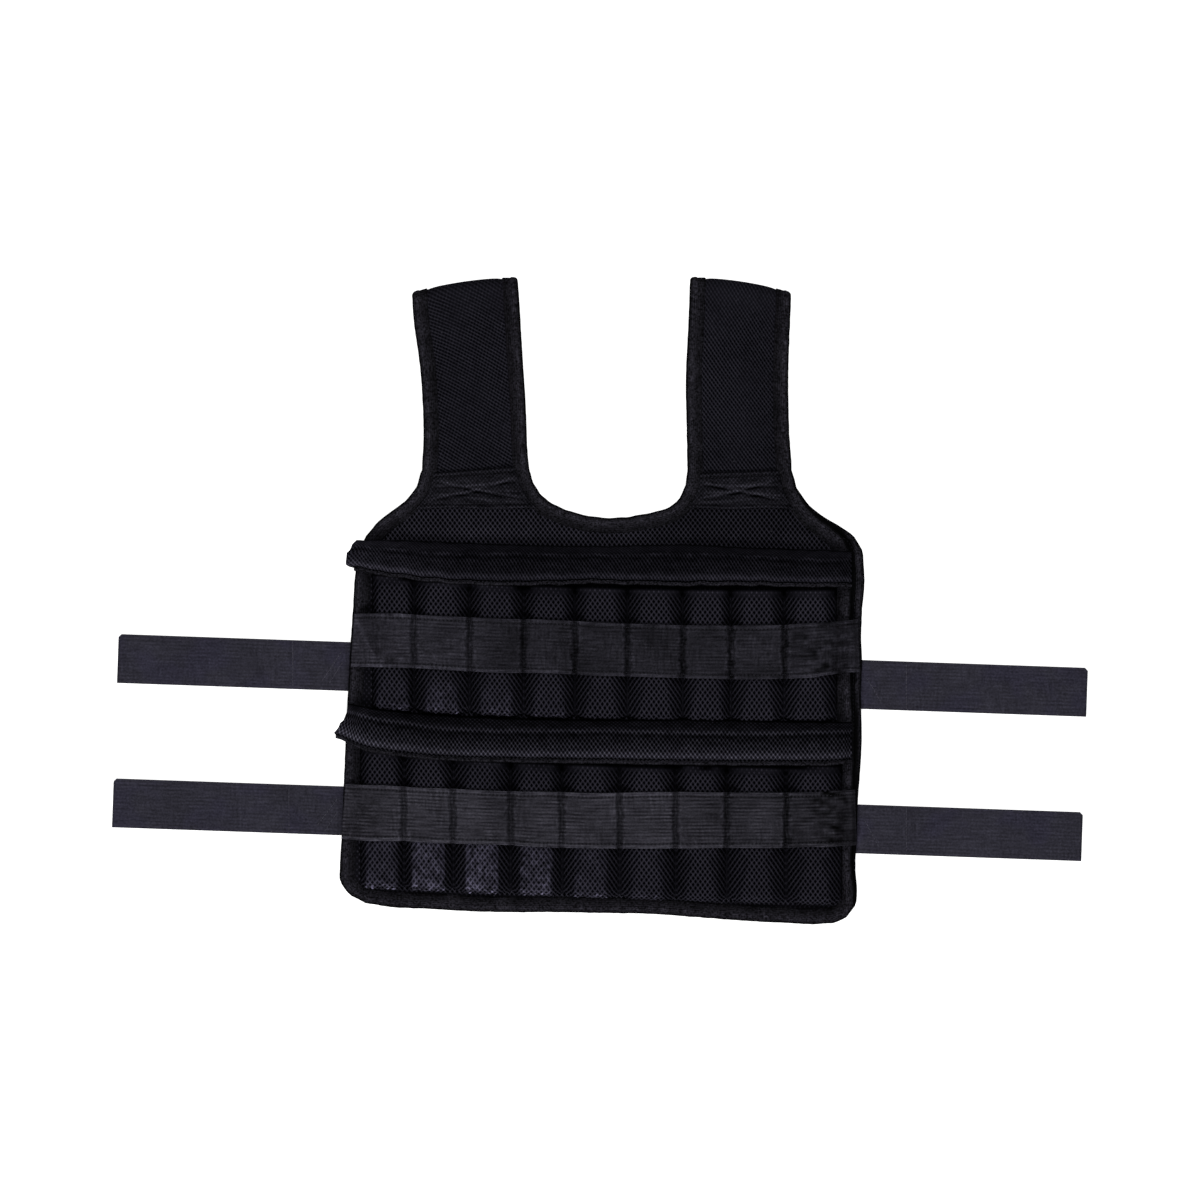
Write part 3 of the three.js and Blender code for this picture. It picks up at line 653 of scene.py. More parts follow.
def sectionChains(name, level):
    # the cut through a panel's rim: its outer edge from seam to seam round the hem, and its neckline
    work = bmesh.new()
    work.from_mesh(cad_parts[name].data)
    bmesh.ops.remove_doubles(work, verts=work.verts, dist=1e-6)
    bmesh.ops.bisect_plane(work, geom=work.verts[:] + work.edges[:] + work.faces[:], plane_no=(0, 0, 1),
                           plane_co=(0, 0, level * mm), clear_inner=True, clear_outer=True)
    bmesh.ops.remove_doubles(work, verts=work.verts, dist=1e-6)
    start = min(work.verts, key=lambda v: v.co.x)
    ring, last = [start], None
    while True:
        ahead = [e.other_vert(ring[-1]) for e in ring[-1].link_edges if e.other_vert(ring[-1]) is not last]
        last = ring[-1]
        if not ahead or ahead[0] is start:
            break
        ring.append(ahead[0])
    points = np.array([v.co[:2] for v in ring]) / mm
    work.free()
    area = (points[:, 0] * np.roll(points[:, 1], -1) - np.roll(points[:, 0], -1) * points[:, 1]).sum()
    if area < 0:
        points = points[::-1]
    top = points[:, 1].max()
    corners = [i for i in range(len(points)) if points[i, 1] > top - 0.05]
    corners.sort(key=lambda i: points[i, 0])
    middle = points[:, 0].mean()
    leftInner = [i for i in corners if points[i, 0] < middle][-1]
    rightInner = [i for i in corners if points[i, 0] > middle][0]

    def chain(first, end):
        return points[[(first + k) % len(points) for k in range((end - first) % len(points) + 1)]]

    return chain(corners[0], corners[-1]), chain(rightInner, leftInner)


# pockets: cloth over nine bars, sewn down between them and at the foot

pocketStyle = {"footRoom": 6, "wall": 1.2, "footRamp": 7, "crownInset": 1, "scallop": 3.5, "show": 4,
               "flankStretch": 0.15, "footStretch": 0.3, "taut": 0.45, "pucker": 0.3, "puckerLength": 11,
               "uneven": 0.45, "barGap": 0.15, "sideSpare": 12, "footSpare": 6,
               "wedge": ((0, 11), (0.3, 4), (0.33, 9.5), (0.7, 9.5), (1, 1.5))}
pocketLook = {
    "upper": {"seed": 3.0, "glints": (0.14, 0.24, 0.1, 0.05, 0, 0, 0, 0, 0), "glintRun": 16, "footDrop": 1.8,
              "mouth": ((-193.2, 20), (-180.6, 19), (-160, 16.5), (-138.6, 15), (-100, 12.3), (-75.6, 10.2),
                        (0, 9), (75.6, 7.3), (151.2, 6.5), (199.9, 6.9))},
    "lower": {"seed": 9.0, "glints": (0.22, 0.65, 0.78, 0.45, 0.15, 0.05, 0, 0, 0), "glintRun": 42,
              "footDrop": 0,
              "mouth": ((-197.4, -124), (-180.6, -127.5), (-138.6, -131.5), (-100, -135.5), (-75.6, -138),
                        (0, -139.5), (75.6, -141.2), (151.2, -142), (199.9, -140.8))}}
rows = {name: readRow(name) for name in ("upper", "lower")}


def tension(share):
    # the rise of cloth from a seam, between a round swell and a straight pull
    return mix(np.sin(np.pi / 2 * share), share, pocketStyle["taut"])


def liftAt(row, x, length=None):
    # 0 on a seam, 1 over a bar
    seams = np.array(row["seams"])
    index = np.clip(np.searchsorted(seams, x) - 1, 0, len(seams) - 2)
    near = np.minimum(x - seams[index], seams[index + 1] - x)
    slope = length or (seams[index + 1] - seams[index] - row["barWidth"]) / 2 + pocketStyle["crownInset"]
    return tension(np.clip(near / slope, 0, 1))


def rowColumns(row, step, fine):
    # x positions across a row, closer together beside the seams
    columns = []
    for left, right in zip(row["seams"][:-1], row["seams"][1:]):
        half = (right - left) / 2
        share = np.linspace(0, 1, round(half / step) + 1)
        run = half * (fine * share + (1 - fine) * share ** 2)
        columns += list(left + run) + list(right - run[:-1][::-1])
    return np.unique(np.round(columns, 4))


def alongX(x):
    return np.stack([x, 0 * x], axis=-1)


def makePockets(row, name):
    style, look = pocketStyle, pocketLook[name]
    seed, wall = look["seed"], style["wall"]
    columns = rowColumns(row, 1.25, 0.55)
    lift = liftAt(row, columns)
    depth = style["footRoom"] + row["barLength"] - style["show"]
    footRun = style["footRamp"] * np.linspace(0, 1, 9)
    run = np.concatenate([footRun[:-1], np.linspace(style["footRamp"], depth, 46)])
    footRise = np.sin(np.pi / 2 * np.clip(run / style["footRamp"], 0, 1))
    climb = lengths(np.stack([run, footRise * (pocketTop - seat)], axis=1))
    x, far = np.meshgrid(columns, run)
    over, foot = np.meshgrid(lift, footRise)
    scallop = style["scallop"] * (1 - over) * (1 - far / depth)
    drop = look["footDrop"] + 1.2 * wobble(alongX(columns), 3.1, seed + 70)
    y = row["footAt"](x) + scallop + far - drop * fall(far, 0, 12)
    z = seat + wall + (pocketTop - seat - wall) * over * foot
    flat = np.stack([x, y], axis=2)
    uneven = wobble(flat, 34, seed) * style["uneven"]
    mouth = y - (lineThrough(look["mouth"])(x) + 0.4 * wobble(alongX(x), 20, seed + 60))
    z += (0.8 * peak(mouth, 0, 0.8) - 0.4 * rise(mouth, 0, 1.2)) * foot
    pucker = np.sin(2 * np.pi * y / style["puckerLength"] + 5 * wobble(flat, 60, seed + 20))
    z += (uneven * over + pucker * style["pucker"] * 4 * over * (1 - over)) * foot
    index = np.clip(np.searchsorted(row["seams"], x) - 1, 0, 8)
    centre = np.array(row["centres"])[index]
    fromCentre = np.abs(x - centre)
    overBar = (fromCentre < row["barWidth"] / 2 - 1.6) & (far > style["footRamp"])
    z = np.where(overBar, np.maximum(z, barTop + wall + style["barGap"]), z)
    steps = np.hypot(np.diff(columns), np.diff((pocketTop - seat) * lift))
    arc = np.concatenate([[0], np.cumsum(mix(np.diff(columns), steps, style["flankStretch"]))])
    arc += np.interp(row["centres"], columns, columns - arc)[index[0]]
    v = mix(far, climb[:, None], style["footStretch"]) + scallop
    piece = gridPiece(f"{name}_pocket_cloth", np.stack([x, y, z], axis=2), np.stack([arc + 0 * x, v], axis=2))
    # painted glints, as of the steel bars catching the light through the net: patchy along each bar, with
    # bright specks at its foot
    shine = 0 * x
    specks = np.clip(wobble(flat, 1.9, seed + 50) - 0.25, 0, 1) * 2
    patchy = 0.4 + 0.4 * wobble(flat, 11, seed + 40) + 0.8 * wobble(flat, 3.2, seed + 44)
    lengthwise = rise(far, 1, 5) * fall(far, look["glintRun"], 14) * mix(1, 0.7, rise(far, 0, 30))
    for barCentre, strength in zip(row["centres"], look["glints"]):
        across = fall(np.abs(x - barCentre), row["barWidth"] * 0.47, 1.6)
        sparks = min(4 * strength, 1) * across * specks * fall(far, 2, 5)
        shine = np.maximum(shine, strength * across * lengthwise * patchy + sparks)
    # the net lies square in a wedge at the middle of each pocket and leans over beside it, where one family
    # of threads is painted darker as painted shade on the flank
    wedge = np.interp(far / depth, *np.array(style["wedge"]).T)
    lean = 0.9 * np.sign(x - centre) * smooth((fromCentre - wedge) / 5)
    # above the mouth the cloth is painted near black, as painted shade in the gap under the flap, and the hem
    # below it is a little darker
    underFlapShade = rise(mouth, 0.5, 0.7)
    hem = rise(mouth, -4, 1.4)
    pressed = np.maximum.reduce([0.75 * fall(over, 0, 0.35), underFlapShade, 0.92 * hem])
    # a painted highlight along the foot of each pocket, brightest under the glints, then painted shade in the
    # seams between the bars and near the mouth, and a painted highlight on the mouth hem's edge
    footHighlight = fall(far, 1.5, 7) * over * (0.35 + 0.9 * np.minimum(shine / 0.6, 1))
    footHighlight += 0.4 * specks * fall(far, 2, 3) * over
    shade = -0.4 * fall(over, 0, 0.4) - 0.4 * (1 - over) * np.exp(-np.abs(mouth) / 9) + footHighlight
    shade += 0.55 * peak(mouth, -0.6, 0.8) - 0.3 * hem - 0.95 * underFlapShade
    setValues(piece, steelShine=np.maximum(shine, 0), lean=lean, pressed=pressed,
              shade=np.maximum(-0.94, shade))
    piece.data.materials.append(pocketMesh)
    thicken(piece, wall)
    finishPiece(piece, "air_mesh", f"{name}_pockets")
    width, height = steps.sum() + style["sideSpare"], climb[-1] + style["footSpare"]
    width * mm
    height * mm
    return piece


pockets = {name: makePockets(row, name) for name, row in rows.items()}
print("pockets made")


# padded panels

panelStyle = {"rimInset": 1.5, "rimHalf": 1.5, "thinInset": 12.6, "padRun": 9, "spacing": 6.5,
              "rings": (3.5, 7, 9.5, 12.5, 16.5), "clear": 20, "sewn": 13, "levelInset": 6, "levelRun": 16,
              "rowReach": 143, "creases": 0.35, "lapLevel": 2.9, "lapReach": 46, "lapRun": 12,
              "bedGap": 0.5, "bedHalf": 21.5, "bedRun": 7, "pressure": 4.0, "frames": 20, "cap": 1.6}
# the photo's edges wander a little from the part's smooth outline: place, shift and reach of each bulge
bulges = ((-100, -261, 0, -2.6, 42), (42, -263, 0, 1, 22), (132, -267, 0, -1.1, 26),
          (-217, -236, -3.4, -1.4, 13), (216, -250, 1.6, -2.3, 12), (219, -118, 3.1, 0, 30),
          (220, -52, 1.6, 0, 12), (222, 28, 1.3, 0, 30), (214, -226, -1.6, 0, 11),
          (-184, 70, -1.9, 1.7, 15), (182, 76, -1.8, -1.8, 15), (214, 50, 1.6, 1.5, 12),
          (-153, 236, -2.4, 0, 22), (-148, 110, -1.8, 0, 14), (161, 190, -1.9, 0, 38),
          (162, 112, 1.6, 0, 12), (58, 84, 3.6, -3.4, 14), (-28, 71, 0, 1.5, 24), (-58, 100, 2.6, 0, 13),
          (72, 186, -1.5, 0, 26), (-62, 212, -1.1, 0, 30))


def bulged(points):
    out = np.array(points, float)
    for x, y, right, up, reach in bulges:
        near = np.exp(-((points[..., 0] - x) ** 2 + (points[..., 1] - y) ** 2) / (2 * reach ** 2))
        out[..., 0] += right * near
        out[..., 1] += up * near
    return out


frontPlain, backPlain = [[smoothLine(chain, 4) for chain in sectionChains(*key)]
                         for key in (("front_panel", frontMiddle), ("back_panel", backRim))]
frontOuter, frontNeck = [bulged(line) for line in frontPlain]
backOuter, backNeck = [bulged(line) for line in backPlain]
strapSeam = frontOuter[0][1]


def distanceTo(points, line):
    best = np.full(len(points), 1e9)
    for start, end in zip(line, np.roll(line, -1, axis=0)):
        along = end - start
        t = np.clip(((points - start) @ along) / max(along @ along, 1e-9), 0, 1)
        best = np.minimum(best, np.linalg.norm(points - (start + t[:, None] * along), axis=1))
    return best


def inflate(piece, held, style):
    # cloth under pressure from inside; no point may move further than the cap
    start = meshPoints(piece.data)
    group = piece.vertex_groups.new(name="held")
    group.add([int(i) for i in np.flatnonzero(held)], 1.0, "REPLACE")
    cloth = piece.modifiers.new("cloth", "CLOTH")
    cloth.settings.vertex_group_mass = "held"
    cloth.settings.use_pressure = True
    cloth.settings.uniform_pressure_force = style["pressure"]
    cloth.settings.effector_weights.gravity = 0
    cloth.point_cache.frame_start = 1
    cloth.point_cache.frame_end = style["frames"]
    for number in range(1, style["frames"] + 1):
        scene.frame_set(number)
    swollen = evaluated(piece)
    move = meshPoints(swollen.to_mesh()) - start
    swollen.to_mesh_clear()
    piece.modifiers.clear()
    piece.vertex_groups.clear()
    scene.frame_set(1)
    far = np.linalg.norm(move, axis=1)
    move *= np.minimum(1, style["cap"] / np.maximum(far, 1e-9))[:, None]
    setCoordinates(piece, start + move)
    print(f"{piece.name}: moved by up to {min(style['cap'], far.max()):.2f} mm")


def planPoints(outline, outer, neck):
    # points over the inside of a panel: rows that follow its edges, and an even spread between them
    spacing = panelStyle["spacing"]
    cloud = [outline]
    for inset in panelStyle["rings"]:
        ring = np.vstack([outer + leftNormals(outer) * inset, neck + leftNormals(neck) * inset])
        cloud.append(ring[distanceTo(ring, outline) > inset - 0.4])
    low, high = outline.min(0), outline.max(0)
    spread = np.array([(x + (spacing / 2 if j % 2 else 0), y)
                       for j, y in enumerate(np.arange(low[1], high[1], spacing * 0.866))
                       for x in np.arange(low[0], high[0], spacing)])
    cloud.append(spread[distanceTo(spread, outline) > panelStyle["clear"]])
    return np.vstack(cloud)


def makePanel(name, outer, neck, middle, rim, half, shape, held, look=None):
    # top and bottom faces over one set of points, joined round the rim
    style = panelStyle
    outline = np.vstack([outer, neck])
    count = len(outline)
    border = [(i, (i + 1) % count) for i in range(count)]
    plan = [Vector(p) for p in planPoints(outline, outer, neck)]
    found = geometry.delaunay_2d_cdt(plan, border, [], 1, 1e-4)
    flat = np.array([tuple(v) for v in found[0]])
    used, triangles = np.unique(np.array(found[2]), return_inverse=True)
    flat, triangles = flat[used], triangles.reshape(-1, 3).tolist()
    inside = distanceTo(flat, outline) + style["rimInset"]
    level = mix(rim, middle, rise(inside, style["levelInset"], style["levelRun"]))
    thick = mix(style["rimHalf"], half, np.sqrt(rise(inside, style["thinInset"], style["padRun"])))
    points = np.vstack([np.column_stack([flat, level + thick]), np.column_stack([flat, level - thick])])
    points[:, 2] += shape(points)
    size = len(flat)
    sides = [pair for a, b, c in triangles for pair in ((a, b), (b, c), (c, a))]
    known = set(sides)
    faces = triangles + [[c + size, b + size, a + size] for a, b, c in triangles]
    faces += [[q, p, p + size, q + size] for p, q in sides if (q, p) not in known]
    uvs = np.array([points[i][:2] for face in faces for i in face])
    piece = meshFrom(name, points, faces, uvs)
    inflate(piece, held(points) | (np.tile(inside, 2) < style["sewn"]), style)
    refine(piece, 1)
    keepAboveFloor(piece)
    setValues(piece, lean=0.35, **(look(meshPoints(piece.data)) if look else {}))
    piece.data.materials.append(panelMesh)
    return piece


def insideRows(points):
    # where the pockets and flaps are sewn on the front panel
    x, y = points[:, 0], points[:, 1]
    upper, lower = rows["upper"], rows["lower"]
    return ((x > upper["left"]) & (x < upper["right"]) & (y > lower["footAt"](x) - 1)
            & (y < upper["footAt"](x) + panelStyle["rowReach"]))


def chestFolds(points):
    # faint creases of the chest below the yokes
    return panelStyle["creases"] * wobble(points, 26, 2.0) * (points[:, 1] > 40)


def flatWithPaintedShade(points):
    # the cloth lies smooth and darker beside the pockets, and under their feet painted shade darkens it, with
    # a painted shadow just under the upper feet; a painted highlight lies just above the upper flap, and the
    # chest is darker towards the right
    x, y = points[:, 0], points[:, 1]
    upper, lower = rows["upper"], rows["lower"]
    left, right = [np.where(y > -100, upper[side], lower[side]) for side in ("left", "right")]
    gap = upper["footAt"](x) - pocketLook["upper"]["footDrop"] - y
    gap = np.where((gap > 0) & (gap < 9), gap, lower["footAt"](x) - y)
    out = rise(np.maximum.reduce([left - x, x - right, gap]), 0, 1.5) * (y < 48)
    shadow = rise(gap, 0, 0.8) * fall(gap, 2, 2.5) * (x > left) * (x < right)
    above = y - 46.2 + 0.0215 * x
    light = 0.3 * rise(above, 0, 2) * fall(above, 5, 12) - 0.28 * rise(x, 10, 70)
    return {"pressed": 0.9 * out, "shade": -0.45 * out - 0.35 * shadow + light * (y > 40)}


frontPanel = makePanel("front_panel_cloth", frontOuter, frontNeck, frontMiddle, frontMiddle,
                       (frontHigh[2] - frontLow[2]) / 2, chestFolds, insideRows, flatWithPaintedShade)
finishPiece(frontPanel, "air_mesh", "front_panel")

webbingBoxes = {name: nodeBox(f"side_strap_{name}") for name in ("upper", "lower")}


def webbingAxes(name):
    # the middle of a length of webbing, and its directions along and across
    points = nodePoints(f"side_strap_{name}")[:, :2]
    centre = (points.min(0) + points.max(0)) / 2
    along = np.linalg.svd(np.unique(np.round(points, 2), axis=0) - centre)[2][0]
    along *= np.sign(along[0])
    return centre, along, np.array([-along[1], along[0]])


def bedsForWebbing(points):
    # the underside rides up over the two lengths of webbing, and over the ends of the shoulder straps
    style, level = panelStyle, points[:, 2]
    overLap = rise(points[:, 1], strapSeam - style["lapReach"], style["lapRun"])
    lifted = np.maximum(style["lapLevel"] - level, 0) * overLap
    for name, box in webbingBoxes.items():
        centre, _, side = webbingAxes(name)
        away = np.abs((points[:, :2] - centre) @ side)
        room = np.maximum(box[1][2] + style["bedGap"] - level, 0)
        lifted = np.maximum(lifted, room * fall(away, style["bedHalf"], style["bedRun"]))
    return lifted


backPanel = makePanel("back_panel_cloth", backOuter, backNeck, backMiddle, backRim,
                      (backHigh[2] - backLow[2]) / 2, bedsForWebbing, lambda points: points[:, 2] < 20)
finishPiece(backPanel, "air_mesh", "back_panel")
print("panels made")


# shoulder straps: padded, folded over at the shoulders

tape = {"width": 13.2, "half": 3.0, "wall": 1.2, "groove": 6.7, "waviness": 0.6, "wavyLength": 13,
        "swell": 0.2, "swellLength": 5.5, "ripple": 0.35, "rippleLength": 7, "gap": 3.6}
shoulder = {"width": 86.5, "length": 162, "padHalf": 2.6, "rimHalf": 1.5, "thinInset": 12.2, "padRun": 7,
            "foldRadius": 7, "foldSlant": 12.6, "lean": {-1: (-8, -10.5), 1: (2.5, 1.5)}, "floorGap": 0.1,
            "bindingHalf": 3.0, "frontLap": 7, "backLap": 31, "lapHalf": 1.25, "lapRise": 3.05, "lapRun": 26,
            "pressure": 4.0, "frames": 20, "cap": 1.2}
sideNames = {-1: "left", 1: "right"}
innerX = {-1: frontPlain[1][-1][0] + panelStyle["rimInset"], 1: frontPlain[1][0][0] - panelStyle["rimInset"]}


def shoulderPath(stations, foldStations):
    # share of the length, offset and level of each station, from the front seam over the fold to the back
    radius = shoulder["foldRadius"]
    reach = radius + shoulder["padHalf"]
    backLayer = shoulder["floorGap"] + shoulder["bindingHalf"]
    t = np.linspace(0, 1, stations)
    front, back = [np.column_stack([t, -reach * t ** 2, mix(start, end, rise(t, 0, 0.75))])
                   for start, end in ((frontMiddle, backLayer + 2 * radius), (backRim, backLayer))]
    angle = np.linspace(0, np.pi, foldStations)[1:-1]
    fold = np.column_stack([1 + 0 * angle, radius * np.sin(angle) - reach,
                            backLayer + radius * (1 + np.cos(angle))])
    path = np.vstack([front, fold, back[::-1]])
    line = np.column_stack([path[:, 0] * shoulder["length"] + path[:, 1], path[:, 2]])
    along = np.gradient(line, axis=0)
    along /= np.linalg.norm(along, axis=1)[:, None]
    return path, np.column_stack([np.zeros(len(path)), -along[:, 1], along[:, 0]])


def shoulderPoints(side, path, distance):
    lean = shoulder["lean"][side]
    across = distance / shoulder["width"]
    y = path[:, 0] * (shoulder["length"] - shoulder["foldSlant"] * across ** 2) + path[:, 1]
    up = np.clip(y / shoulder["length"], 0, 1)
    x = innerX[side] + side * distance + mix(*lean, across) * up ** 2
    return bulged(np.column_stack([x, strapSeam + y, path[:, 2]]))


def makeShoulder(side):
    style, width = shoulder, shoulder["width"]
    path, normals = shoulderPath(30, 10)
    frontEnds = np.linspace(-style["frontLap"], 0, 4)[:-1] / style["length"]
    backEnds = np.linspace(0, -style["backLap"], 8)[1:] / style["length"]
    frontLap, backLap = [np.column_stack([ends, 0 * ends, 0 * ends + level])
                         for ends, level in ((frontEnds, frontMiddle), (backEnds, backRim))]
    path = np.vstack([frontLap, path, backLap])
    normals = np.vstack([[(0, 0, 1)] * len(frontEnds), normals, [(0, 0, -1)] * len(backEnds)])
    lap = fall(path[:, 0] * style["length"], 0, style["lapRun"])
    near = [panelStyle["rimInset"], 5, 8, 10, 12.5, 16]
    distances = np.array([*near, *np.linspace(21, width - 21, 9), *(width - d for d in near[::-1])])
    inside = np.minimum(distances, width - distances)
    padded = np.sqrt(rise(inside, style["thinInset"], style["padRun"]))
    heights = mix(style["rimHalf"], style["padHalf"], padded)
    section = [*zip(distances, heights), *zip(distances[::-1], -heights[::-1])]
    grid = []
    for distance, height in section:
        room = rise(min(distance, width - distance), tape["width"] - 1, 6)
        half = mix(abs(height), min(abs(height), style["lapHalf"]), lap)
        out = np.sign(height) * half + style["lapRise"] * lap * room
        grid.append(shoulderPoints(side, path, distance) + normals * out[:, None])
    along = lengths(shoulderPoints(side, path, width / 2))
    around = side * np.array([distance for distance, _ in section + section[:1]])
    uv = np.stack(np.meshgrid(around, along), axis=2)
    piece = gridPiece(f"{sideNames[side]}_shoulder_pad", np.stack(grid, axis=1), uv, closed=True)
    held = np.tile([min(distance, width - distance) < 10.5 for distance, _ in section], len(path))
    held[:len(section) * 2] = True
    held[-len(section) * 2:] = True
    inflate(piece, held, style)
    refine(piece, 2)
    keepAboveFloor(piece)
    flat = meshPoints(piece.data)[:, :2]
    worn = 0.5 * rise(flat[:, 1], strapSeam + 100, 60) + 0.25 * wobble(flat, 22, 70.0 + side)
    setValues(piece, lean=0.8, pressed=np.clip(worn, 0, 0.9))
    piece.data.materials.append(strapMeshes[sideNames[side]])
    finishPiece(piece, "air_mesh", f"shoulder_strap_{sideNames[side]}")
    return piece


shoulderPads = {side: makeShoulder(side) for side in (-1, 1)}
print("shoulder straps made")


# binding tape round every edge

def tapeSection():
    # inset into the cloth and height over its middle, from the upper inner edge round the outside
    h, w, groove, wall = tape["half"], tape["width"], tape["groove"], tape["wall"]
    outside = [(w, h - 0.9), (w - 0.7, h - 0.45), (w - 2, h - 0.4), (groove + 0.8, h - 0.45),
               (groove, h - 0.75), (groove - 0.8, h - 0.25), (5.4, h + 0.1), (3.6, h + 0.1), (2, h - 0.2),
               (0.9, h - 0.85), (0.2, h - 1.8), (0, h - 2.7)]
    bottom = [(i, -z) for i, z in outside[::-1]]
    inside = [(w, wall - h), (wall + 1, wall - h), (wall, 0), (wall + 1, h - wall), (w, h - wall)]
    return outside + bottom + inside


def joinStations(*parts):
    return [np.vstack(part) for part in zip(*parts)]


def reverseStations(stations):
    return [part[::-1] for part in stations]


def panelStations(chain, level, face):
    # the place, the way in and the way up at each station along a panel's edge
    inward = leftNormals(chain)
    for end in (0, -1):
        inward[end] = (np.sign(inward[end][0]), 0)
    place = chain - inward * panelStyle["rimInset"]
    zeros = np.zeros(len(chain))
    parts = ((place, zeros + level), (inward, zeros), (zeros, zeros, zeros + face))
    return [np.column_stack(part) for part in parts]


def shoulderStations(side, edge):
    path, normals = shoulderPath(40, 14)
    distance, beside = (0, 5) if edge == "inner" else (shoulder["width"], shoulder["width"] - 5)
    place = shoulderPoints(side, path, distance)
    inward = shoulderPoints(side, path, beside) - place
    inward /= np.linalg.norm(inward, axis=1)[:, None]
    return place[1:-1], inward[1:-1], normals[1:-1]


def makeSweepTree():
    # points of the path carry the way in and the way up, points of the profile their inset and height
    sizes = ("Width", "Path length", "Profile length", "Waviness", "Wave length", "Ripple", "Ripple length",
             "Swell", "Swell length")
    tree, given = newTree("GeometryNodeTree", "tapeSweep", {
        "Path": "Geometry", "Profile": "Object", **{label: 1.0 for label in sizes}, "Seed": 1,
        "Cloth": "Material"})

    def value(name, kind="FLOAT"):
        return addNode(tree, "GeometryNodeInputNamedAttribute", {"Name": name}, data_type=kind)("Attribute")

    def pair(first, second):
        return addNode(tree, "ShaderNodeCombineXYZ", {0: first, 1: second})()

    def drift(label, size, shift):
        place = pair(value("along") / given(size), given("Seed") + shift)
        return (noiseOf(place, 1.0, 0.0) - 0.5) * 2.4 * given(label)

    def unrolled(name, whole):
        # the face that closes a ring ends at the full length, not at nought
        raw = value(name)
        mean = addNode(tree, "GeometryNodeFieldOnDomain", {0: raw}, data_type="FLOAT", domain="FACE")()
        behind = calc("GREATER_THAN", mean - raw, given(whole) * 0.25)
        return raw + behind * given(whole)

    def step(name, factor):
        return vectorStep("SCALE", value(name, "FLOAT_VECTOR"), factor)

    path = addNode(tree, "GeometryNodeMeshToCurve", {"Mesh": given("Path")})()
    shape = addNode(tree, "GeometryNodeObjectInfo", {"Object": given("Profile")})("Geometry")
    profile = addNode(tree, "GeometryNodeMeshToCurve", {"Mesh": shape})()
    swept = addNode(tree, "GeometryNodeCurveToMesh", {
        "Curve": path, "Profile Curve": profile, "Fill Caps": True})()
    share = calc("MINIMUM", value("inset") / given("Width"), 1.0)
    sway = drift("Waviness", "Wave length", 3.0) * share
    ripple = drift("Ripple", "Ripple length", 40.0) * (1.0 - share)
    reach = value("inset") + (sway + ripple)
    tall = value("height") * (1.0 + drift("Swell", "Swell length", 80.0))
    spread = vectorStep("ADD", step("inward", reach), step("up", tall))
    position = vectorStep("SCALE", vectorStep("ADD", value("place", "FLOAT_VECTOR"), spread), mm)
    placed = addNode(tree, "GeometryNodeSetPosition", {"Geometry": swept, "Position": position})()
    weave = pair(unrolled("along", "Path length"), unrolled("around", "Profile length"))
    cut = addNode(tree, "GeometryNodeStoreNamedAttribute", {
        "Geometry": placed, "Name": "weave", "Value": weave}, data_type="FLOAT2", domain="CORNER")()
    return finishGrown(tree, cut, given("Cloth"), "Tape")


sweepTree = makeSweepTree()


def growTape(name, stations, section, closed, seed, shade=0.0, **changes):
    place, inward, up = stations
    style = {**tape, **changes}
    count, sides = len(place), len(section)
    along = lengths(np.vstack([place, place[:1]]) if closed else place)
    inset, height = np.array(section).T
    around = lengths(np.vstack([section, section[:1]]))
    profile = chainPiece(f"{name}_profile", np.column_stack([inset, height, 0 * inset]),
                         [(i, (i + 1) % sides) for i in range(sides)], inset=inset, height=height,
                         around=around[:-1], shade=shade + 0 * inset)
    piece = chainPiece(name, place, [(i, (i + 1) % count) for i in range(count if closed else count - 1)],
                       place=place, inward=inward, up=up, along=along[:count])
    growPiece(piece, sweepTree, {
        "Profile": profile, "Width": style["width"], "Path length": along[-1], "Profile length": around[-1],
        "Waviness": style["waviness"], "Wave length": style["wavyLength"], "Ripple": style["ripple"],
        "Ripple length": style["rippleLength"], "Swell": style["swell"], "Swell length": style["swellLength"],
        "Seed": seed, "Cloth": tapeTwill})
    bpy.data.objects.remove(profile)
    piece.data.uv_layers["weave"].active = True
    if insideOut(piece.data):
        piece.data.flip_normals()
    return piece


def forget(piece):
    # the values that only the sweep needed
    for name in ("place", "inward", "up", "inset", "height", "around", "along"):
        piece.data.attributes.remove(piece.data.attributes[name])


def sweepTape(name, stations, seed):
    piece = growTape(name, stations, tapeSection(), True, seed)
    keepAboveFloor(piece)
    inset, groove = valuesOf(piece, "inset"), tape["groove"]
    at = alongX(valuesOf(piece, "along"))
    forget(piece)
    spots = np.clip(wobble(at, 4.2, seed + 11), -1, 1)
    # painted highlights dot the ridge beside the groove, the inner strip is darker, and painted shade darkens
    # the rolled outer edge
    shade = peak(inset, groove - 2.2, 1.5) * (0.55 + 1.5 * spots) - 0.45 * rise(inset, groove + 0.3, 1.5)
    shade += 0.3 * wobble(at, 11, seed + 14) - 0.85 * fall(inset, 0.6, 1.6)
    # painted shadow where the lower tape goes under the edge of the front
    points = meshPoints(piece.data)
    beside = distanceTo(points[:, :2], frontOuter) - panelStyle["rimInset"]
    gap = fall(beside, tape["gap"], 1.2) * (points[:, 2] < frontMiddle - 3.2) * (points[:, 1] < strapSeam)
    setValues(piece, shade=np.maximum(shade * (1 - gap) - 0.9 * gap, -0.93))
    return piece


edgeStations = joinStations(panelStations(frontOuter, frontMiddle, 1), shoulderStations(1, "outer"),
                            reverseStations(panelStations(backOuter, backRim, -1)),
                            reverseStations(shoulderStations(-1, "outer")))
neckStations = joinStations(reverseStations(panelStations(frontNeck, frontMiddle, 1)),
                            shoulderStations(1, "inner"), panelStations(backNeck, backRim, -1),
                            reverseStations(shoulderStations(-1, "inner")))
finishPiece(sweepTape("edge_tape", edgeStations, 1), "binding_tape", "edge_binding")
finishPiece(sweepTape("neck_tape", neckStations, 7), "binding_tape", "neck_binding")
print("binding made")


# yokes: the sewn-down ends of the shoulder straps, with a stitched box and cross

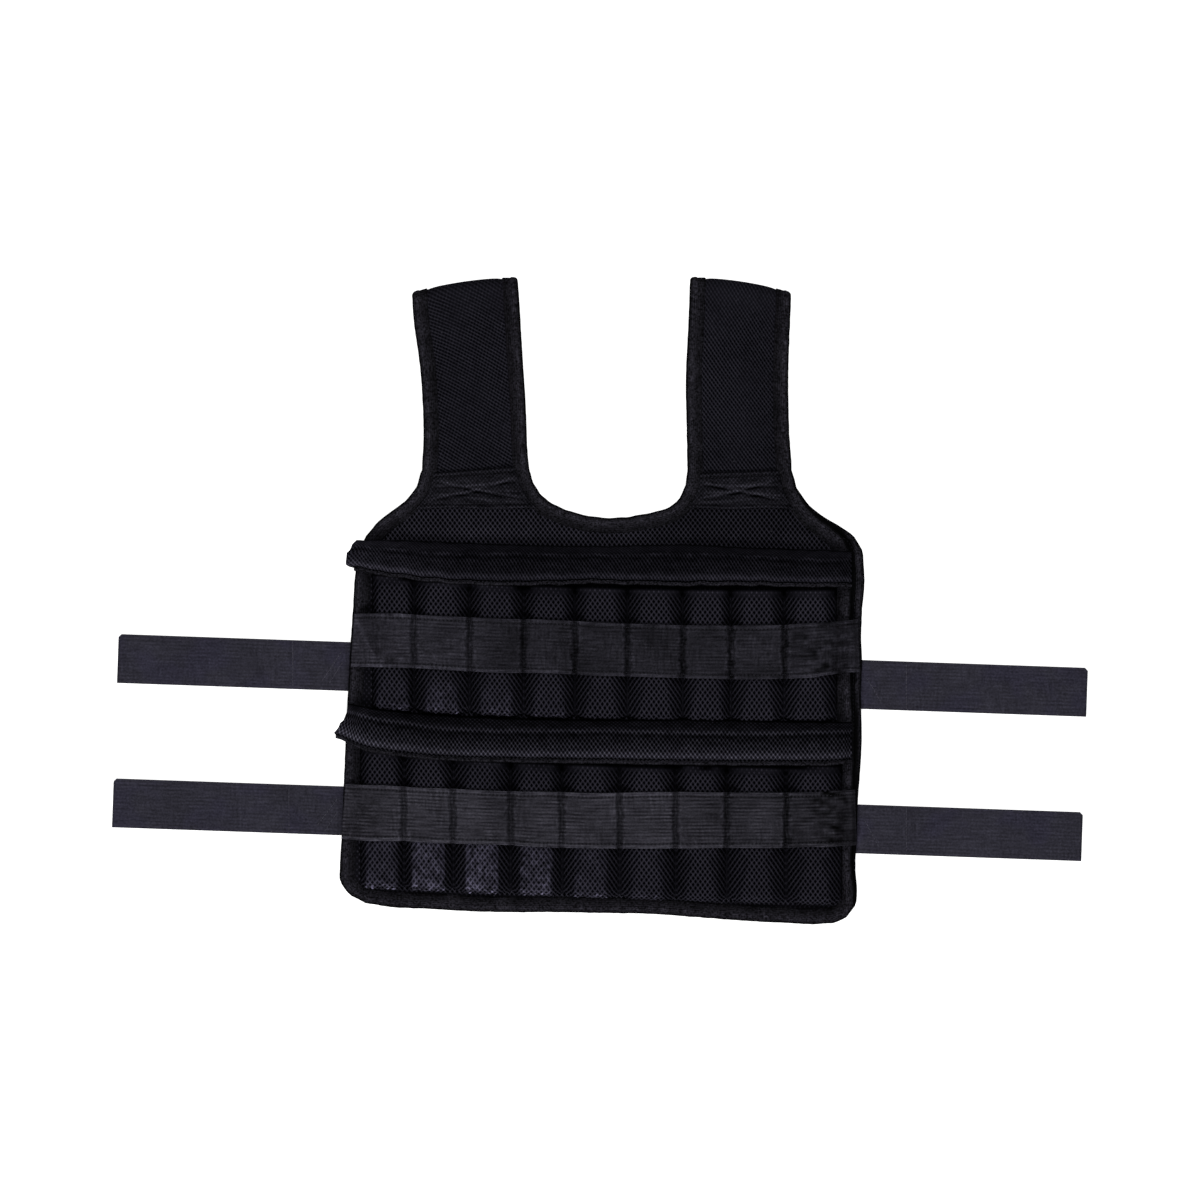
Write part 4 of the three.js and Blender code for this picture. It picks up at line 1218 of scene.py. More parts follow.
yokeStyle = {"wall": 1.2, "over": 0.25, "underTape": 2.2, "hem": 77.6, "puff": 1.0, "puffRun": 5.5,
             "wrinkle": 0.8, "seamGroove": 3.6, "boxMargin": 4.0, "boxSide": 4, "hemWave": 0.5,
             "nearOuter": 40, "nearInner": 22,
             "tops": {-1: (107.2, 112.4), 1: (107.0, 109.4)},
             "folds": (((-1, 0.22), (1, 0.8), 1.1, 0.9), ((-1, 0.78), (1, 0.2), 1.1, 0.9),
                       ((-1, 0.3), (0.35, 0.44), 1.0, 0.8), ((-0.3, 0.42), (1, 0.36), 1.0, 0.7),
                       ((-1, 0.6), (0.1, 0.52), 1.0, 0.6), ((0.1, 0.6), (1, 0.66), 1.0, 0.7),
                       ((-0.9, 0.88), (0.3, 0.72), 1.0, 0.5))}


def edgeAt(side, which, y):
    # the vest's true edge beside the yoke, inset by the part that the tape hides
    outer = which == "outer"
    line, count = (frontOuter, yokeStyle["nearOuter"]) if outer else (frontNeck, yokeStyle["nearInner"])
    near = slice(None, count) if outer == (side < 0) else slice(-count, None)
    under = tape["width"] - yokeStyle["underTape"]
    hidden = (line + leftNormals(line) * (under - panelStyle["rimInset"]))[near]
    hidden = hidden[np.argsort(hidden[:, 1])]
    below = np.interp(y, hidden[:, 1], hidden[:, 0])
    above = innerX[side] + side * (shoulder["width"] - under if outer else under) + 0 * y
    return np.where(y > strapSeam - 2, bulged(np.stack([above, y], axis=-1))[..., 0], below)


def yokeEnds(side):
    return ("outer", "inner") if side < 0 else ("inner", "outer")


def yokeBox(side):
    # the low level of the stitched box, and its high levels at left and right
    margin = yokeStyle["boxMargin"]
    return yokeStyle["hem"] + margin, *(top - margin for top in yokeStyle["tops"][side])


def makeYoke(side):
    style = yokeStyle
    across, down = np.meshgrid(np.linspace(0, 1, 62), np.linspace(0, 1, 40))
    topY = mix(*style["tops"][side], across)
    hemY = style["hem"] + style["hemWave"] * np.sin(9 * across + side)
    y = mix(topY, hemY, down)
    leftX, rightX = [edgeAt(side, end, y) for end in yokeEnds(side)]
    x = mix(leftX, rightX, across)
    rimNear = np.minimum(x - leftX, rightX - x)
    # how far each point is from the box's four seams and its two diagonals
    low, highLeft, highRight = yokeBox(side)
    high = mix(highLeft, highRight, across)
    a, b = (rightX - leftX) / 2 - 2, (high - low) / 2
    boxX, boxY = x - (leftX + rightX) / 2, y - (high + low) / 2
    diagonals = [np.abs(b * boxX + sign * a * boxY) / np.hypot(a, b) for sign in (-1, 1)]
    apart = np.minimum.reduce([*diagonals, np.abs(b - np.abs(boxY)), np.abs(a - np.abs(boxX))])
    flat = np.stack([x * 0.35, y], axis=2)
    # long low folds that run in from the ends of the seams
    pulls = 0.3 * wobble(flat * (0.7, 1), 3.2, 63.0 + side)
    for (startX, startY), (endX, endY), size, strength in style["folds"]:
        share = ((across * 2 - 1) * side - startX) / (endX - startX)
        away = (down - mix(startY, endY, share)) * (topY - hemY) + 0.7 * wobble(flat, 9, 60.0 + side)
        inside = rise(share, 0, 0.15) * smooth((1 - share) / 0.15)
        pulls += strength * inside * (peak(away, 0, size) - 0.45 * peak(away, 1.9 * size, 1.1 * size))
    base = frontHigh[2] + style["over"] + style["wall"]
    fromTop = topY - y
    z = rise(apart, 0, style["puffRun"]) * style["puff"] + pulls * style["wrinkle"]
    z = base - 0.5 + z * rise(rimNear, 0, 6)
    z += 0.25 * (rise(down, 0, 0.05) + smooth((1 - down) / 0.06)) - peak(fromTop, style["seamGroove"], 0.9)
    z -= (base - frontMiddle - shoulder["bindingHalf"] - 0.2) * fall(rimNear, 0, 7)
    piece = gridPiece(f"{sideNames[side]}_yoke", np.stack([x, y, z], axis=2), np.stack([x, y], axis=2))
    # painted shade in the two lines along the top edge and a painted highlight between them, the folds
    # painted lighter and darker as they rise and fall, and a painted highlight on the hem's edge with painted
    # shade above it
    lines = peak(fromTop, style["seamGroove"] + 0.4, 0.8) + peak(fromTop, 0.3, 0.9)
    shade = pulls * 1.4 * rise(fromTop, 4, 2) - 0.75 * np.minimum(lines, 1) + 0.5 * peak(fromTop, 2.2, 0.8)
    shade += 0.4 * rise(down, 0.955, 0.02) - 0.5 * peak(down, 0.93, 0.025)
    setValues(piece, shade=shade, pressed=np.clip(0.4 + 0.5 * wobble(flat, 9, 68.0 + side), 0, 0.9), lean=0.3)
    piece.data.materials.append(yokeMesh)
    thicken(piece, style["wall"])
    finishPiece(piece, "air_mesh")
    (topY - hemY).mean() * mm
    return piece


yokes = {side: makeYoke(side) for side in (-1, 1)}
print("yokes made")


# flaps over the mouths of the pockets

flapStyle = {"wall": 1.8, "dip": 2.6, "dipRun": 7, "hemWidth": 3.6, "hemHalf": 0.9, "lumps": 0.6,
             "riseRun": 9, "lieRun": 24, "riseHeight": 12}
# run and height: a riser up to the crest, a slack middle, a lip, and a groove where the hem is sewn on
flapRiser = ((0, 0), (0.3, 0.42), (0.6, 0.78), (0.85, 0.98), (1.0, 1.04))
flapLying = ((0.12, 1.02, 0.3), (0.25, 0.97, 0), (0.5, 0.95, -0.2), (0.7, 0.98, 0), (0.79, 1.0, 0.45),
             (0.86, 1.0, 0.5), (0.92, 1.0, 0.2), (0.96, 1.0, -0.45), (1.0, 1.0, -1.0))
flapLook = {
    "upper": {"seed": 5.0, "dashes": 0.1, "overBars": 0.8, "riser": 0.25, "middle": -0.1, "belly": 0.1,
              "lean": 0.75, "wave": 0.8, "tuck": 2.4,
              "lightEnd": ((-213, 1.2), (-190, 0.9), (-150, 0.35), (-110, 0), (220, 0)),
              "end": ((0, -204.5), (0.17, -207.7), (0.43, -209.7), (0.5, -212.3), (0.88, -213.2),
                      (0.95, -211), (1, -206.5)),
              "top": ((-214.2, 50.8), (-180.6, 50.8), (-138.6, 49.6), (-75.6, 47.2), (0, 45.8), (37.8, 46.6),
                      (75.6, 47), (113.4, 44.9), (151.2, 43.7), (186.5, 42.4), (214.2, 41.6)),
              "crest": ((-214.2, 45.8), (-180.6, 44.1), (-138.6, 39.9), (-75.6, 39.5), (0, 38.6),
                        (75.6, 39.1), (151.2, 36.1), (186.5, 34), (214.2, 34.9)),
              "edge": ((-214.2, 25.3), (-203.3, 24.3), (-180.6, 20.7), (-138.6, 15.3), (-75.6, 12.5), (0, 14),
                       (37.8, 12.9), (75.6, 12.2), (113.4, 12.6), (151.2, 11.7), (186.5, 11), (214.2, 11.4))},
    "lower": {"seed": 15.0, "dashes": 0.8, "overBars": 0, "riser": -0.3, "middle": -0.25, "belly": 0.6,
              "lean": 0.4, "wave": 0.3, "tuck": 3.0,
              "lightEnd": ((-221, 0.5), (-190, 0.3), (-150, 0), (220, 0)),
              "end": ((0, -211.5), (0.3, -212.4), (0.55, -215.2), (0.63, -217.9), (0.78, -219.5),
                      (0.95, -223.2), (1, -221.9)),
              "top": ((-220.1, -86.1), (-208.3, -87.4), (-180.6, -91.6), (-138.6, -95.3), (-75.6, -98.3),
                      (0, -100), (75.6, -99.1), (151.2, -100.8), (186.5, -101.6), (214.2, -102.1)),
              "crest": ((-220.1, -92.8), (-201.6, -95.3), (-180.6, -100), (-159.6, -102.1), (-138.6, -106.3),
                        (-113.4, -107.9), (-75.6, -108.8), (0, -108.8), (75.6, -110.5), (151.2, -110.9),
                        (186.5, -109.6), (214.2, -109.6)),
              "edge": ((-220.1, -115.1), (-214.2, -117.2), (-202.4, -123.9), (-189.8, -127.4),
                       (-180.6, -128.7), (-165, -131), (-138.6, -133.4), (-75.6, -135.6), (0, -136.7),
                       (75.6, -137.8), (151.2, -138.2), (186.5, -138.2), (214.2, -136.5))}}


def makeFlap(row, name):
    style, look = flapStyle, flapLook[name]
    seed, wall, riseRun, lieRun = look["seed"], style["wall"], style["riseRun"], style["lieRun"]
    left, right = row["left"], row["right"]
    low, high = [corner[0] for corner in nodeBox(f"{name}_flap")]
    sides = [*np.linspace(low, left, 9)[:-1], *np.linspace(right, high, 7)[1:]]
    x = np.sort([*sides, *rowColumns(row, 1.9, 0.8)])
    top, crestLine, edge = [lineThrough(look[key])(x) + look["wave"] * wobble(alongX(x), 13, seed + k)
                            for key, k in (("top", 11), ("crest", 13), ("edge", 15))]
    over = liftAt(row, x, style["dipRun"])
    beyond = np.maximum(left - x, 0) / (left - low) + np.maximum(x - right, 0) / (high - right)
    share = (1 - (style["dip"] / (crest - seat)) * (1 - over)) * (1 - smooth(beyond) * 0.7)
    run = [(a * riseRun, b * style["riseHeight"], 0) for a, b in flapRiser]
    run += [(riseRun + a * lieRun, b * style["riseHeight"], c) for a, b, c in flapLying]
    run = smoothLine(run, 0.9)
    leftEnd = np.array(look["end"]).T
    grid = []
    for a, b, c in run:
        lying = mix(crestLine, edge + look["tuck"], (a - riseRun) / lieRun)
        y = mix(top, crestLine, a / riseRun) if a <= riseRun else lying
        z = seat + wall + (crest - seat) * (b / style["riseHeight"]) * share + c * 1.1
        z += 0.5 * over * peak(a, 9.5, 1.8)
        reach = np.interp(a / (riseRun + lieRun), *leftEnd)
        across = np.where(x < left, left + (x - left) * (reach - left) / (low - left), x)
        grid.append(np.column_stack([across, y, z]))
    grid = np.array(grid)
    lumps = wobble(grid, 21, seed) * style["lumps"]
    lumps += wobble(grid * (1, 0.6, 1), 8, seed + 9) * (0.25 + 1.6 * beyond * (x < 0))
    weft = wobble(grid * (0.4, 1, 0), 3.5, seed + 6)
    grid[:, :, 2] += lumps * smooth(np.arange(len(grid)) / 8)[:, None]
    across, along = lengths(grid[-1]), lengths(grid[:, 20, 1:])
    piece = gridPiece(f"{name}_flap_cloth", grid, np.stack(np.meshgrid(across, -along), axis=2))
    piece.data.materials.append(flapMeshes[name])
    column, at = np.meshgrid(x, run[:, 0])
    dashes = np.clip(look["dashes"] + wobble(alongX(column), 6, seed + 3), 0, 1)
    dashes += look["overBars"] * sum(peak(column, centre, 5.5) for centre in row["centres"])
    # painted light and shade across the flap: a dark line of painted shade along the top seam, the riser
    # lighter or darker as each look gives, painted highlights in dashes along the crest over the bars,
    # painted shade in the trough behind it, the middle darker, a painted highlight on the lip and on the
    # lower flap's belly, and painted shade in the groove at the hem; the left ends lighter as listed, with
    # some random tone
    shade = look["riser"] * fall(at, 5, 3) - 0.85 * fall(at, 0.7, 1.2) + look["middle"] * rise(at, 8, 3)
    shade += 1.2 * dashes * peak(at, 9.3, 1.1) - 0.35 * peak(at, 12.5, 1.8) + 0.3 * weft
    shade += look["belly"] * rise(at, 16, 8) + 1.7 * peak(at, 28.2, 2.3) - 1.2 * rise(at, 30.8, 0.8)
    lightEnd = np.interp(column, *np.array(look["lightEnd"]).T)
    pressed = np.clip(0.5 * fall(at, 6, 5) + 0.3 * peak(at, 28.6, 3), 0, 1)
    shade = np.maximum((1 + shade) * (1 + lightEnd) - 1, -0.9)
    setValues(piece, shade=shade, lean=look["lean"], pressed=pressed)
    thicken(piece, wall)
    # the rolled edge of the hem
    w, h = style["hemWidth"], style["hemHalf"]
    place = grid[-1] + (0, -look["tuck"], -h + 0.5)
    loop = [(0, 0), (0.3, 0.75 * h), (1.2, h), (w - 1.2, 0.9 * h), (w, 0.3 * h), (w, -0.6 * h), (w - 0.8, -h),
            (1.2, -h), (0.3, -0.75 * h)]
    # painted light and shade on the hem's profile: its top lighter, its outer side and underside darker
    tones = [-0.6, -0.2, 0.2, -0.1, -0.7, -0.7, -0.5, -0.5, -0.6]
    inward, up = [np.tile(way, (len(place), 1)) for way in ((0.0, 1.0, 0.0), (0.0, 0.0, 1.0))]
    hem = growTape(f"{name}_flap_hem", (place, inward, up), loop, False, 4, tones, width=w, waviness=0.4,
                   swell=0.1)
    forget(hem)
    finishPiece(hem, "binding_tape")
    finishPiece(piece, "air_mesh", f"{name}_flap")
    return piece, hem, grid


flaps = {name: makeFlap(row, name) for name, row in rows.items()}
print("flaps made")


# elastic bands across the pockets

bandStyle = {"wall": 1.5, "dip": 5.5, "dipRun": 3.4, "curl": 0.5, "seamWave": 1.0, "endRun": 9,
             "weaveHalf": 22, "dotPitch": 3.3, "seamInset": 3.3, "seamOver": 8}
bandLook = {
    "upper": {"seed": 31.0, "crumple": 1.0, "size": 13, "ends": ((-206.2, -209.2), (217.1, 218.8)),
              "tones": ((-212, 0.1), (-150, 0.05), (-60, -0.24), (60, -0.34), (150, -0.34), (221, -0.28)),
              "fold": ((-180, -52.5), (-189.3, -44.4), (-197.6, -27.8), (-204.5, -14)), "foldDepth": 1,
              "folds": ((-170, 12, 0.7), (192, 20, 1.5)),
              "top": ((-214.2, -11.3), (-179.8, -10.9), (-165.5, -11.3), (-136.9, -13), (-108.4, -14.1),
                      (-79.8, -15.5), (-51.2, -16), (-22.7, -17.2), (5.9, -18.9), (34.4, -19.7),
                      (63, -20.6), (120.1, -21), (148.7, -20.6), (177.2, -18.9), (191.5, -18.1),
                      (205.8, -17.2), (223.4, -15.5)),
              "low": ((-214.2, -55.4), (-179.8, -55.9), (-151.2, -56.7), (-122.6, -58.4), (-94.1, -60.1),
                      (-37, -60.9), (-8.4, -62.6), (20.2, -63.4), (48.7, -64.3), (77.3, -65.1),
                      (134.4, -65.9), (163, -65.1), (177.2, -64.3), (191.5, -62.2), (205.8, -60.3),
                      (223.4, -60.1))},
    "lower": {"seed": 37.0, "crumple": 0.45, "size": 20, "ends": ((-213.8, -217.1), (214.6, 216)),
              "tones": ((-218, 0.22), (-120, 0.17), (60, 0.1), (150, -0.2), (180, -0.42), (217, -0.47)),
              "fold": ((-184, -203), (-192.4, -190.3), (-201.6, -174.3), (-212, -156)), "foldDepth": 0.4,
              "folds": ((-186, 12, 0.3), (194, 18, 0.9)),
              "top": ((-221.8, -154.1), (-179.8, -155), (-151.2, -156.7), (-122.6, -157.8), (-94.1, -159.2),
                      (-65.5, -160), (-37, -160.3), (-8.4, -161.4), (20.2, -160.9), (63, -160.4),
                      (120.1, -160.9), (163, -160.9), (191.5, -160), (223.4, -158.8)),
              "low": ((-221.8, -199.9), (-194, -201.2), (-165.5, -201.3), (-136.9, -202.9), (-108.4, -203.7),
                      (-79.8, -204.5), (-51.2, -206.2), (-22.7, -207.1), (34.4, -207.6), (120.1, -207.1),
                      (148.7, -207.1), (177.2, -206.2), (223.4, -205.4))}}


def seamDistance(row, x):
    return np.min([np.abs(x - seam) for seam in row["seams"][1:-1]], axis=0)


def bandLift(row, x, run):
    # 0 on a seam between two bars, 1 away from it
    return tension(np.clip((seamDistance(row, x) - 0.5) / run, 0, 1))


def makeBand(row, name):
    style, look = bandStyle, bandLook[name]
    seed, wall, left, right = look["seed"], style["wall"], row["left"], row["right"]
    boxLow, boxHigh = nodeBox(f"{name}_band")
    low, high = boxLow[0], boxHigh[0]
    sides = [*np.linspace(low, left, 14)[:-1], *np.linspace(right, high, 18)[1:]]
    columns = np.sort([*sides, *rowColumns(row, 1.2, 0.5)])
    level = crest + wall - style["dip"] * (1 - bandLift(row, columns, style["dipRun"]))
    leftEdge = frontMiddle + shoulder["bindingHalf"] + 0.9 + wall
    rightEdge = boxLow[2] + wall + 0.6
    start, end = left + style["endRun"], right - style["endRun"]
    turn = (columns - end) / (high - end)
    level = mix(level, leftEdge, smooth((start - columns) / (start - low)))
    level = mix(level, leftEdge, rise(turn, 0, 0.72)) - (leftEdge - rightEdge) * rise(turn, 0.78, 0.22)
    topLine, lowLine = [lineThrough(look[key])(columns) for key in ("top", "low")]
    half = (topLine - lowLine) / 2
    x, v = np.meshgrid(columns, np.linspace(-1, 1, 31))
    y = (topLine + lowLine) / 2 + v * half
    flat = np.stack([x, y], axis=2)

    def noisy(stretch, size, shift):
        return wobble(flat * stretch, size, seed + shift)

    # crumples, stronger where the ends are pulled down, and one corner folded under along a slant
    pulled = sum(amount * peak(x, at, width) for at, width, amount in look["folds"])
    creases = noisy((0.45, 1), 5.5, 3) + 0.6 * noisy((0.9, 1), 4, 5)
    crumple = noisy((1, 2.2), look["size"], 0) * look["crumple"] * (1 - v ** 4 * 0.6)
    z = level + crumple + creases * (0.12 + 0.75 * pulled) + style["curl"] * np.abs(v) ** 3 * 0.6
    sway = style["seamWave"] * wobble(np.stack([v * 12, x * 0.2], axis=2), 5, seed + 8)
    x = x + sway * (1 - bandLift(row, x, 9))
    for (endTop, endLow), border, limit in zip(look["ends"], (left, right), (low, high)):
        reach = mix(endLow, endTop, (v + 1) / 2)
        out = (columns - border) * np.sign(limit - border) > 0
        x = np.where(out, border + (x - border) * (reach - border) / (limit - border), x)
    fold = np.array(look["fold"])
    ahead = x - np.interp(y, fold[:, 1], fold[:, 0])
    nearFold = smooth((26 - np.abs(ahead)) / 16) * (x < left + 18) * look["foldDepth"]
    z += nearFold * (0.9 * fall(ahead, -1.2, 2.4) - 0.35)
    along = lengths(np.column_stack([columns, level]))
    seamNear = seamDistance(row, x + 1.2 * wobble(np.stack([x * 0.3, y], axis=2), 3.2, seed + 15))
    beads = np.clip(noisy((1, 1), 2.6, 17), -1, 1)
    # the tone along the band as listed, with painted light and shade on the creases, the right end painted
    # lighter where it turns down, the folded corner painted lighter on one side of the fold and darker on the
    # other, and at each seam painted shade in the groove, dotted, with painted highlights on the beads beside
    # it
    shade = np.interp(x, *np.array(look["tones"]).T) + 0.25 * noisy((1, 1), 30, 12)
    shade += 0.6 * creases * np.minimum(1, 0.15 + pulled) + 0.25 * rise(turn, 0.7, 0.2)
    shade += nearFold * (0.45 * fall(ahead, -0.8, 1.6) + 0.3 * peak(ahead, -1.5, 1.5) - 0.2)
    dots = 0.72 + 0.28 * np.sin(2 * np.pi * (y + x * 0.2) / style["dotPitch"])
    shade += (0.18 + 0.9 * beads) * peak(seamNear, 3.2, 1.6) - 0.68 * dots * peak(seamNear, 0, 1.5)
    uv = np.stack([along + 0 * x, v * style["weaveHalf"]], axis=2)
    piece = gridPiece(f"{name}_band_elastic", np.stack([x, y, z], axis=2), uv)
    setValues(piece, shade=shade)
    piece.data.materials.append(bandElastics[name])
    thicken(piece, wall)
    finishPiece(piece, "elastic_band", f"{name}_band")
    2 * half.mean() * mm
    return piece


bands = {name: makeBand(row, name) for name, row in rows.items()}
print("bands made")


# side straps of webbing, lying flat under the vest

webbing = {"round": 0.5, "lie": 0.25, "chamfer": 2.5, "wider": 0.25, "longer": 1.4, "under": 190}


def makeWebbing(name):
    centre, along, side = webbingAxes(name)
    points = nodePoints(f"side_strap_{name}")
    offsets = points[:, :2] - centre
    half, length = (offsets @ side).max() + webbing["wider"], (offsets @ along).max() + webbing["longer"]
    thick, r = points[:, 2].max(), webbing["round"]
    flat = np.linspace(-0.94, 0.94, 15)
    loop = [(-1, r), (-1, thick - r), (-0.988, thick), *((v, thick) for v in flat), (0.988, thick),
            (1, thick - r), (1, r), (0.988, 0), *((-v, 0) for v in flat), (-0.988, 0)]
    v, level = np.array(loop).T
    u = np.linspace(-length, length, 330)
    # one corner of each end is cut off, and the cloth lies a little unevenly outside the vest
    cut = np.clip(webbing["chamfer"] - (length - np.abs(u)), 0, None)[:, None]
    away = np.where(v > 0.9, np.minimum(v * half, half - cut), v * half)
    plan = centre + along * u[:, None, None] + side * away[:, :, None]
    lie = (wobble(plan, 45, 50.0) + 1) * webbing["lie"] * 0.5
    z = level + np.where(np.abs(u)[:, None] < webbing["under"], 0, lie)
    around = lengths(np.array(loop + loop[:1]) * (half, 1))
    uv = np.stack(np.meshgrid(around, u), axis=2)[:, :, ::-1]
    piece = gridPiece(f"{name}_side_webbing", np.concatenate([plan, z[:, :, None]], axis=2), uv, closed=True)
    piece.data.materials.append(strapWebbing)
    finishPiece(piece, "webbing", f"side_strap_{name}")
    2 * length * mm
    2 * half * mm
    return piece


sideWebbing = {name: makeWebbing(name) for name in webbingBoxes}
print("side straps made")


# stitches, set out along their seams by one node tree

stitchStyle = {"pitch": 3.4, "length": 2.5, "thickness": 0.55, "uneven": 0.18, "thread": threadTwist}
# the few rows on the webbing that show near the vest, each from one point to another
webbingRows = {"upper": ((-233.5, -66.8, -218.4, -44.1), (-227, -68, -217.5, -53), (-258.7, -35, -258.7, -71),
                         (225, -66, 236, -84), (258, -55, 258, -90)),
               "lower": ((-237, -187.7, -222, -168), (-231, -193, -222.5, -180), (-262, -156, -262, -192),
                         (223.5, -186, 234, -206), (258, -175, 258, -210))}


def makeStitchTree():
    tree, given = newTree("GeometryNodeTree", "stitchRows", {
        "Rows": "Geometry", "Pitch": 3.4 * mm, "Length": 2.5 * mm, "Thickness": 0.55 * mm, "Uneven": 0.2,
        "Seed": 1, "Thread": "Material"})
    curve = addNode(tree, "GeometryNodeMeshToCurve", {"Mesh": given("Rows")})()
    points = addNode(tree, "GeometryNodeCurveToPoints", {
        "Curve": curve, "Length": given("Pitch")}, mode="LENGTH")
    up = addNode(tree, "GeometryNodeInputNamedAttribute", {"Name": "up"}, data_type="FLOAT_VECTOR")
    alongSeam = addNode(tree, "FunctionNodeAlignRotationToVector", {"Vector": points("Tangent")}, axis="X")
    upright = addNode(tree, "FunctionNodeAlignRotationToVector", {
        "Rotation": alongSeam(), "Vector": up("Attribute")}, axis="Z", pivot_axis="X")()
    bead = addNode(tree, "GeometryNodeMeshUVSphere", {"Segments": 4, "Rings": 4, "Radius": 1})("Mesh")
    turned = addNode(tree, "GeometryNodeTransform", {"Geometry": bead, "Rotation": (0, math.pi / 2, 0)})()
    size = addNode(tree, "ShaderNodeCombineXYZ", {
        "X": given("Length") * 0.5, "Y": given("Thickness") * 0.5, "Z": given("Thickness") * 0.42})()
    shaped = addNode(tree, "GeometryNodeTransform", {"Geometry": turned, "Scale": size})()
    change = addNode(tree, "FunctionNodeRandomValue", {
        2: 1 - given("Uneven"), 3: 1 + given("Uneven"), "Seed": given("Seed")}, data_type="FLOAT")(1)
    placed = addNode(tree, "GeometryNodeInstanceOnPoints", {
        "Points": points("Points"), "Instance": shaped, "Rotation": upright, "Scale": change})()
    return finishGrown(tree, placed, given("Thread"), "Stitches")


stitchTree = makeStitchTree()


def makeStitches(name, seams, slot, seed, **changes):
    # seams is a list of (points, up directions, closed)
    style = {**stitchStyle, **changes}
    points, ups, edges = [], [], []
    for line, up, closed in seams:
        first = len(points)
        points += list(line)
        ups += list(up)
        edges += [(first + i, first + i + 1) for i in range(len(line) - 1)]
        if closed:
            edges.append((len(points) - 1, first))
    piece = growPiece(chainPiece(name, points, edges, up=ups), stitchTree, {
        "Pitch": style["pitch"] * mm, "Length": style["length"] * mm, "Thickness": style["thickness"] * mm,
        "Uneven": style["uneven"], "Seed": seed, "Thread": style["thread"]})
    finishPiece(piece, slot)


def onSurface(top, line, above):
    # a seam line laid on a finished surface, with the directions that its stitches face
    step = 3.0
    if len(line) > 2:
        line = smoothLine(line, step)
    else:
        line = np.linspace(*line, max(2, int(math.dist(*line) / step) + 1))
    found = [top(x, y, seat) for x, y in line]
    points = [(x, y, z + above) for (x, y), (z, _) in zip(line, found)]
    return points, [tuple(facing) for _, facing in found], False


def tapeSeams(stations):
    place, inward, up = stations
    level = tape["half"] - 0.62
    return [(place + inward * tape["groove"] + up * face * level, up * face, True) for face in (1, -1)]


def bandSeams(name):
    top = surfaceOf(bands[name])
    over, inset = bandStyle["seamOver"], bandStyle["seamInset"]
    x = np.linspace(rows[name]["left"] - over, rows[name]["right"] + over, 150)
    return [onSurface(top, np.column_stack([x, lineThrough(bandLook[name][key])(x) + shift]), 0.02)
            for key, shift in (("top", -inset), ("low", inset))]


def flapSeam(cloth, hem, grid):
    line = grid[-1][:, :2] + (0, 0.5)
    return onSurface(surfaceOf(cloth, hem), line[2:-2], 0.0)


def yokeSeams(side):
    top = surfaceOf(yokes[side])
    low, highLeft, highRight = yokeBox(side)
    first, second = yokeEnds(side)
    margin = yokeStyle["boxSide"]
    a, b, c, d = [(float(edgeAt(side, end, y)) + (margin if end == first else -margin), y)
                  for end, y in ((first, highLeft), (second, highRight), (second, low), (first, low))]
    return [onSurface(top, pair, 0.05) for pair in ((a, b), (b, c), (c, d), (d, a), (a, c), (b, d))]


def webbingSeams(name):
    top = surfaceOf(sideWebbing[name])
    return [onSurface(top, (ends[:2], ends[2:]), 0.05) for ends in webbingRows[name]]


makeStitches("binding_stitches", tapeSeams(edgeStations) + tapeSeams(neckStations), "binding_tape", 3)
makeStitches("band_stitches", bandSeams("upper") + bandSeams("lower"), "elastic_band", 5, pitch=3.2,
             length=2.3, thickness=0.5)
makeStitches("flap_stitches", [flapSeam(*made) for made in flaps.values()], "binding_tape", 7)
makeStitches("yoke_stitches", yokeSeams(-1) + yokeSeams(1), "binding_tape", 9, pitch=3.0, length=2.1,
             thickness=0.5)
makeStitches("webbing_stitches", webbingSeams("upper") + webbingSeams("lower"), "webbing", 11, pitch=2.9,
             length=3.0, thickness=1.0, thread=threadPale)
print("stitches made")


# floor, light and camera, seen from straight above

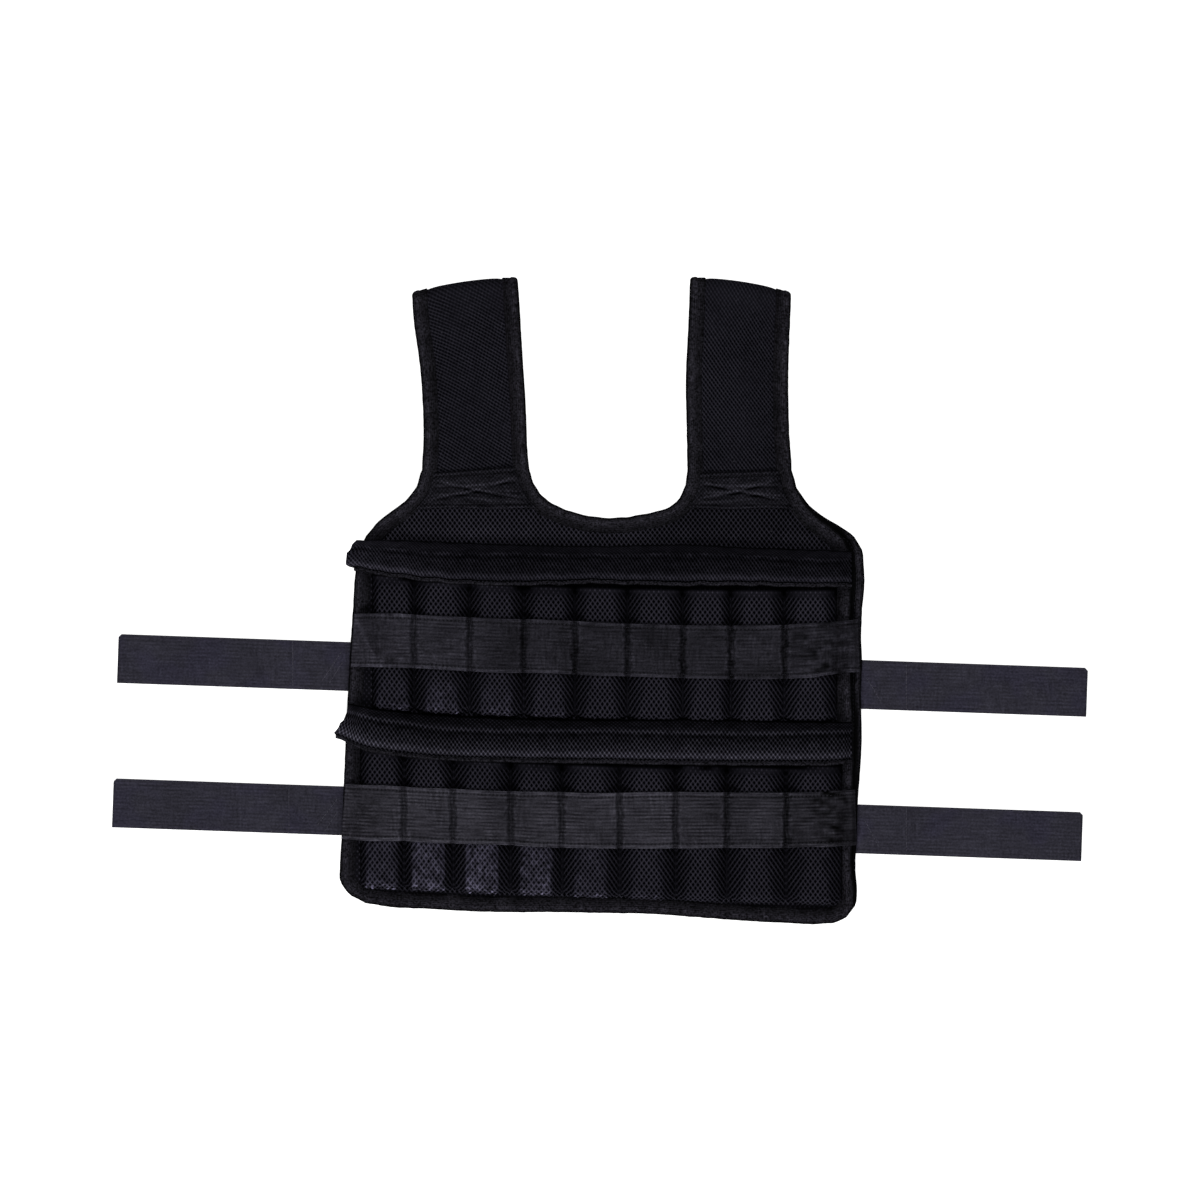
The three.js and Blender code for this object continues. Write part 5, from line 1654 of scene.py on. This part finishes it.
view = {"field": 1008, "lens": 180, "sensor": 36, "level": 15, "centreX": 0, "centreY": 0.42, "farthest": 100}
# how far the floor reaches each way and its level, in metres, and its tones
ground = {"reach": 15, "level": -0.0004, "tone": (0.3, 0.3, 0.3, 1), "seenTone": (0.62, 0.62, 0.62, 1),
          "glow": 0.84}
# the place and size of each lamp in metres, and its power
lamps = {"key": ((-0.35, -2.0, 2.1), 0.9, 72), "fill": ((0.3, 1.8, 2.3), 1.1, 42)}


def makeFloor():
    mesh = bpy.data.meshes.new("floor")
    far, level = ground["reach"], ground["level"]
    corners = [(-far, -far, level), (far, -far, level), (far, far, level), (-far, far, level)]
    mesh.from_pydata(corners, [], [(0, 1, 2, 3)])
    material, tree, shader = newMaterial("paleFloor")
    # the floor glows a little to the eye, and throws little light back on the vest
    seen = addNode(tree, "ShaderNodeLightPath")("Is Camera Ray")
    feed(shader["Base Color"], mixColor(tree, seen, ground["tone"], ground["seenTone"]))
    feed(shader["Roughness"], 0.95)
    feed(shader["Specular IOR Level"], 0)
    feed(shader["Emission Color"], (1, 1, 1, 1))
    feed(shader["Emission Strength"], seen * ground["glow"])
    mesh.materials.append(material)
    link("floor", mesh)


def makeLamp(name, place, size, power):
    lamp = bpy.data.lights.new(name, "AREA")
    lamp.shape = "DISK"
    lamp.size = size
    lamp.energy = power
    item = link(name, lamp)
    item.location = place
    item.rotation_euler = Vector(place).to_track_quat("Z", "Y").to_euler()


makeFloor()
for name, values in lamps.items():
    makeLamp(name, *values)

world = bpy.data.worlds.new("studio")
world.use_nodes = True
sky = world.node_tree.nodes["Background"].inputs
feed(sky["Color"], (1, 1, 1, 1))
feed(sky["Strength"], 0.3)
scene.world = world
scene.view_settings.view_transform = "Standard"

lens = bpy.data.cameras.new("camera")
lens.lens = view["lens"]
lens.sensor_width = view["sensor"]
lens.clip_end = view["farthest"]
distance = view["field"] * view["lens"] / view["sensor"]
camera = link("camera", lens)
camera.location = (view["centreX"] * mm, view["centreY"] * mm, (view["level"] + distance) * mm)
scene.camera = camera
print("stage made")
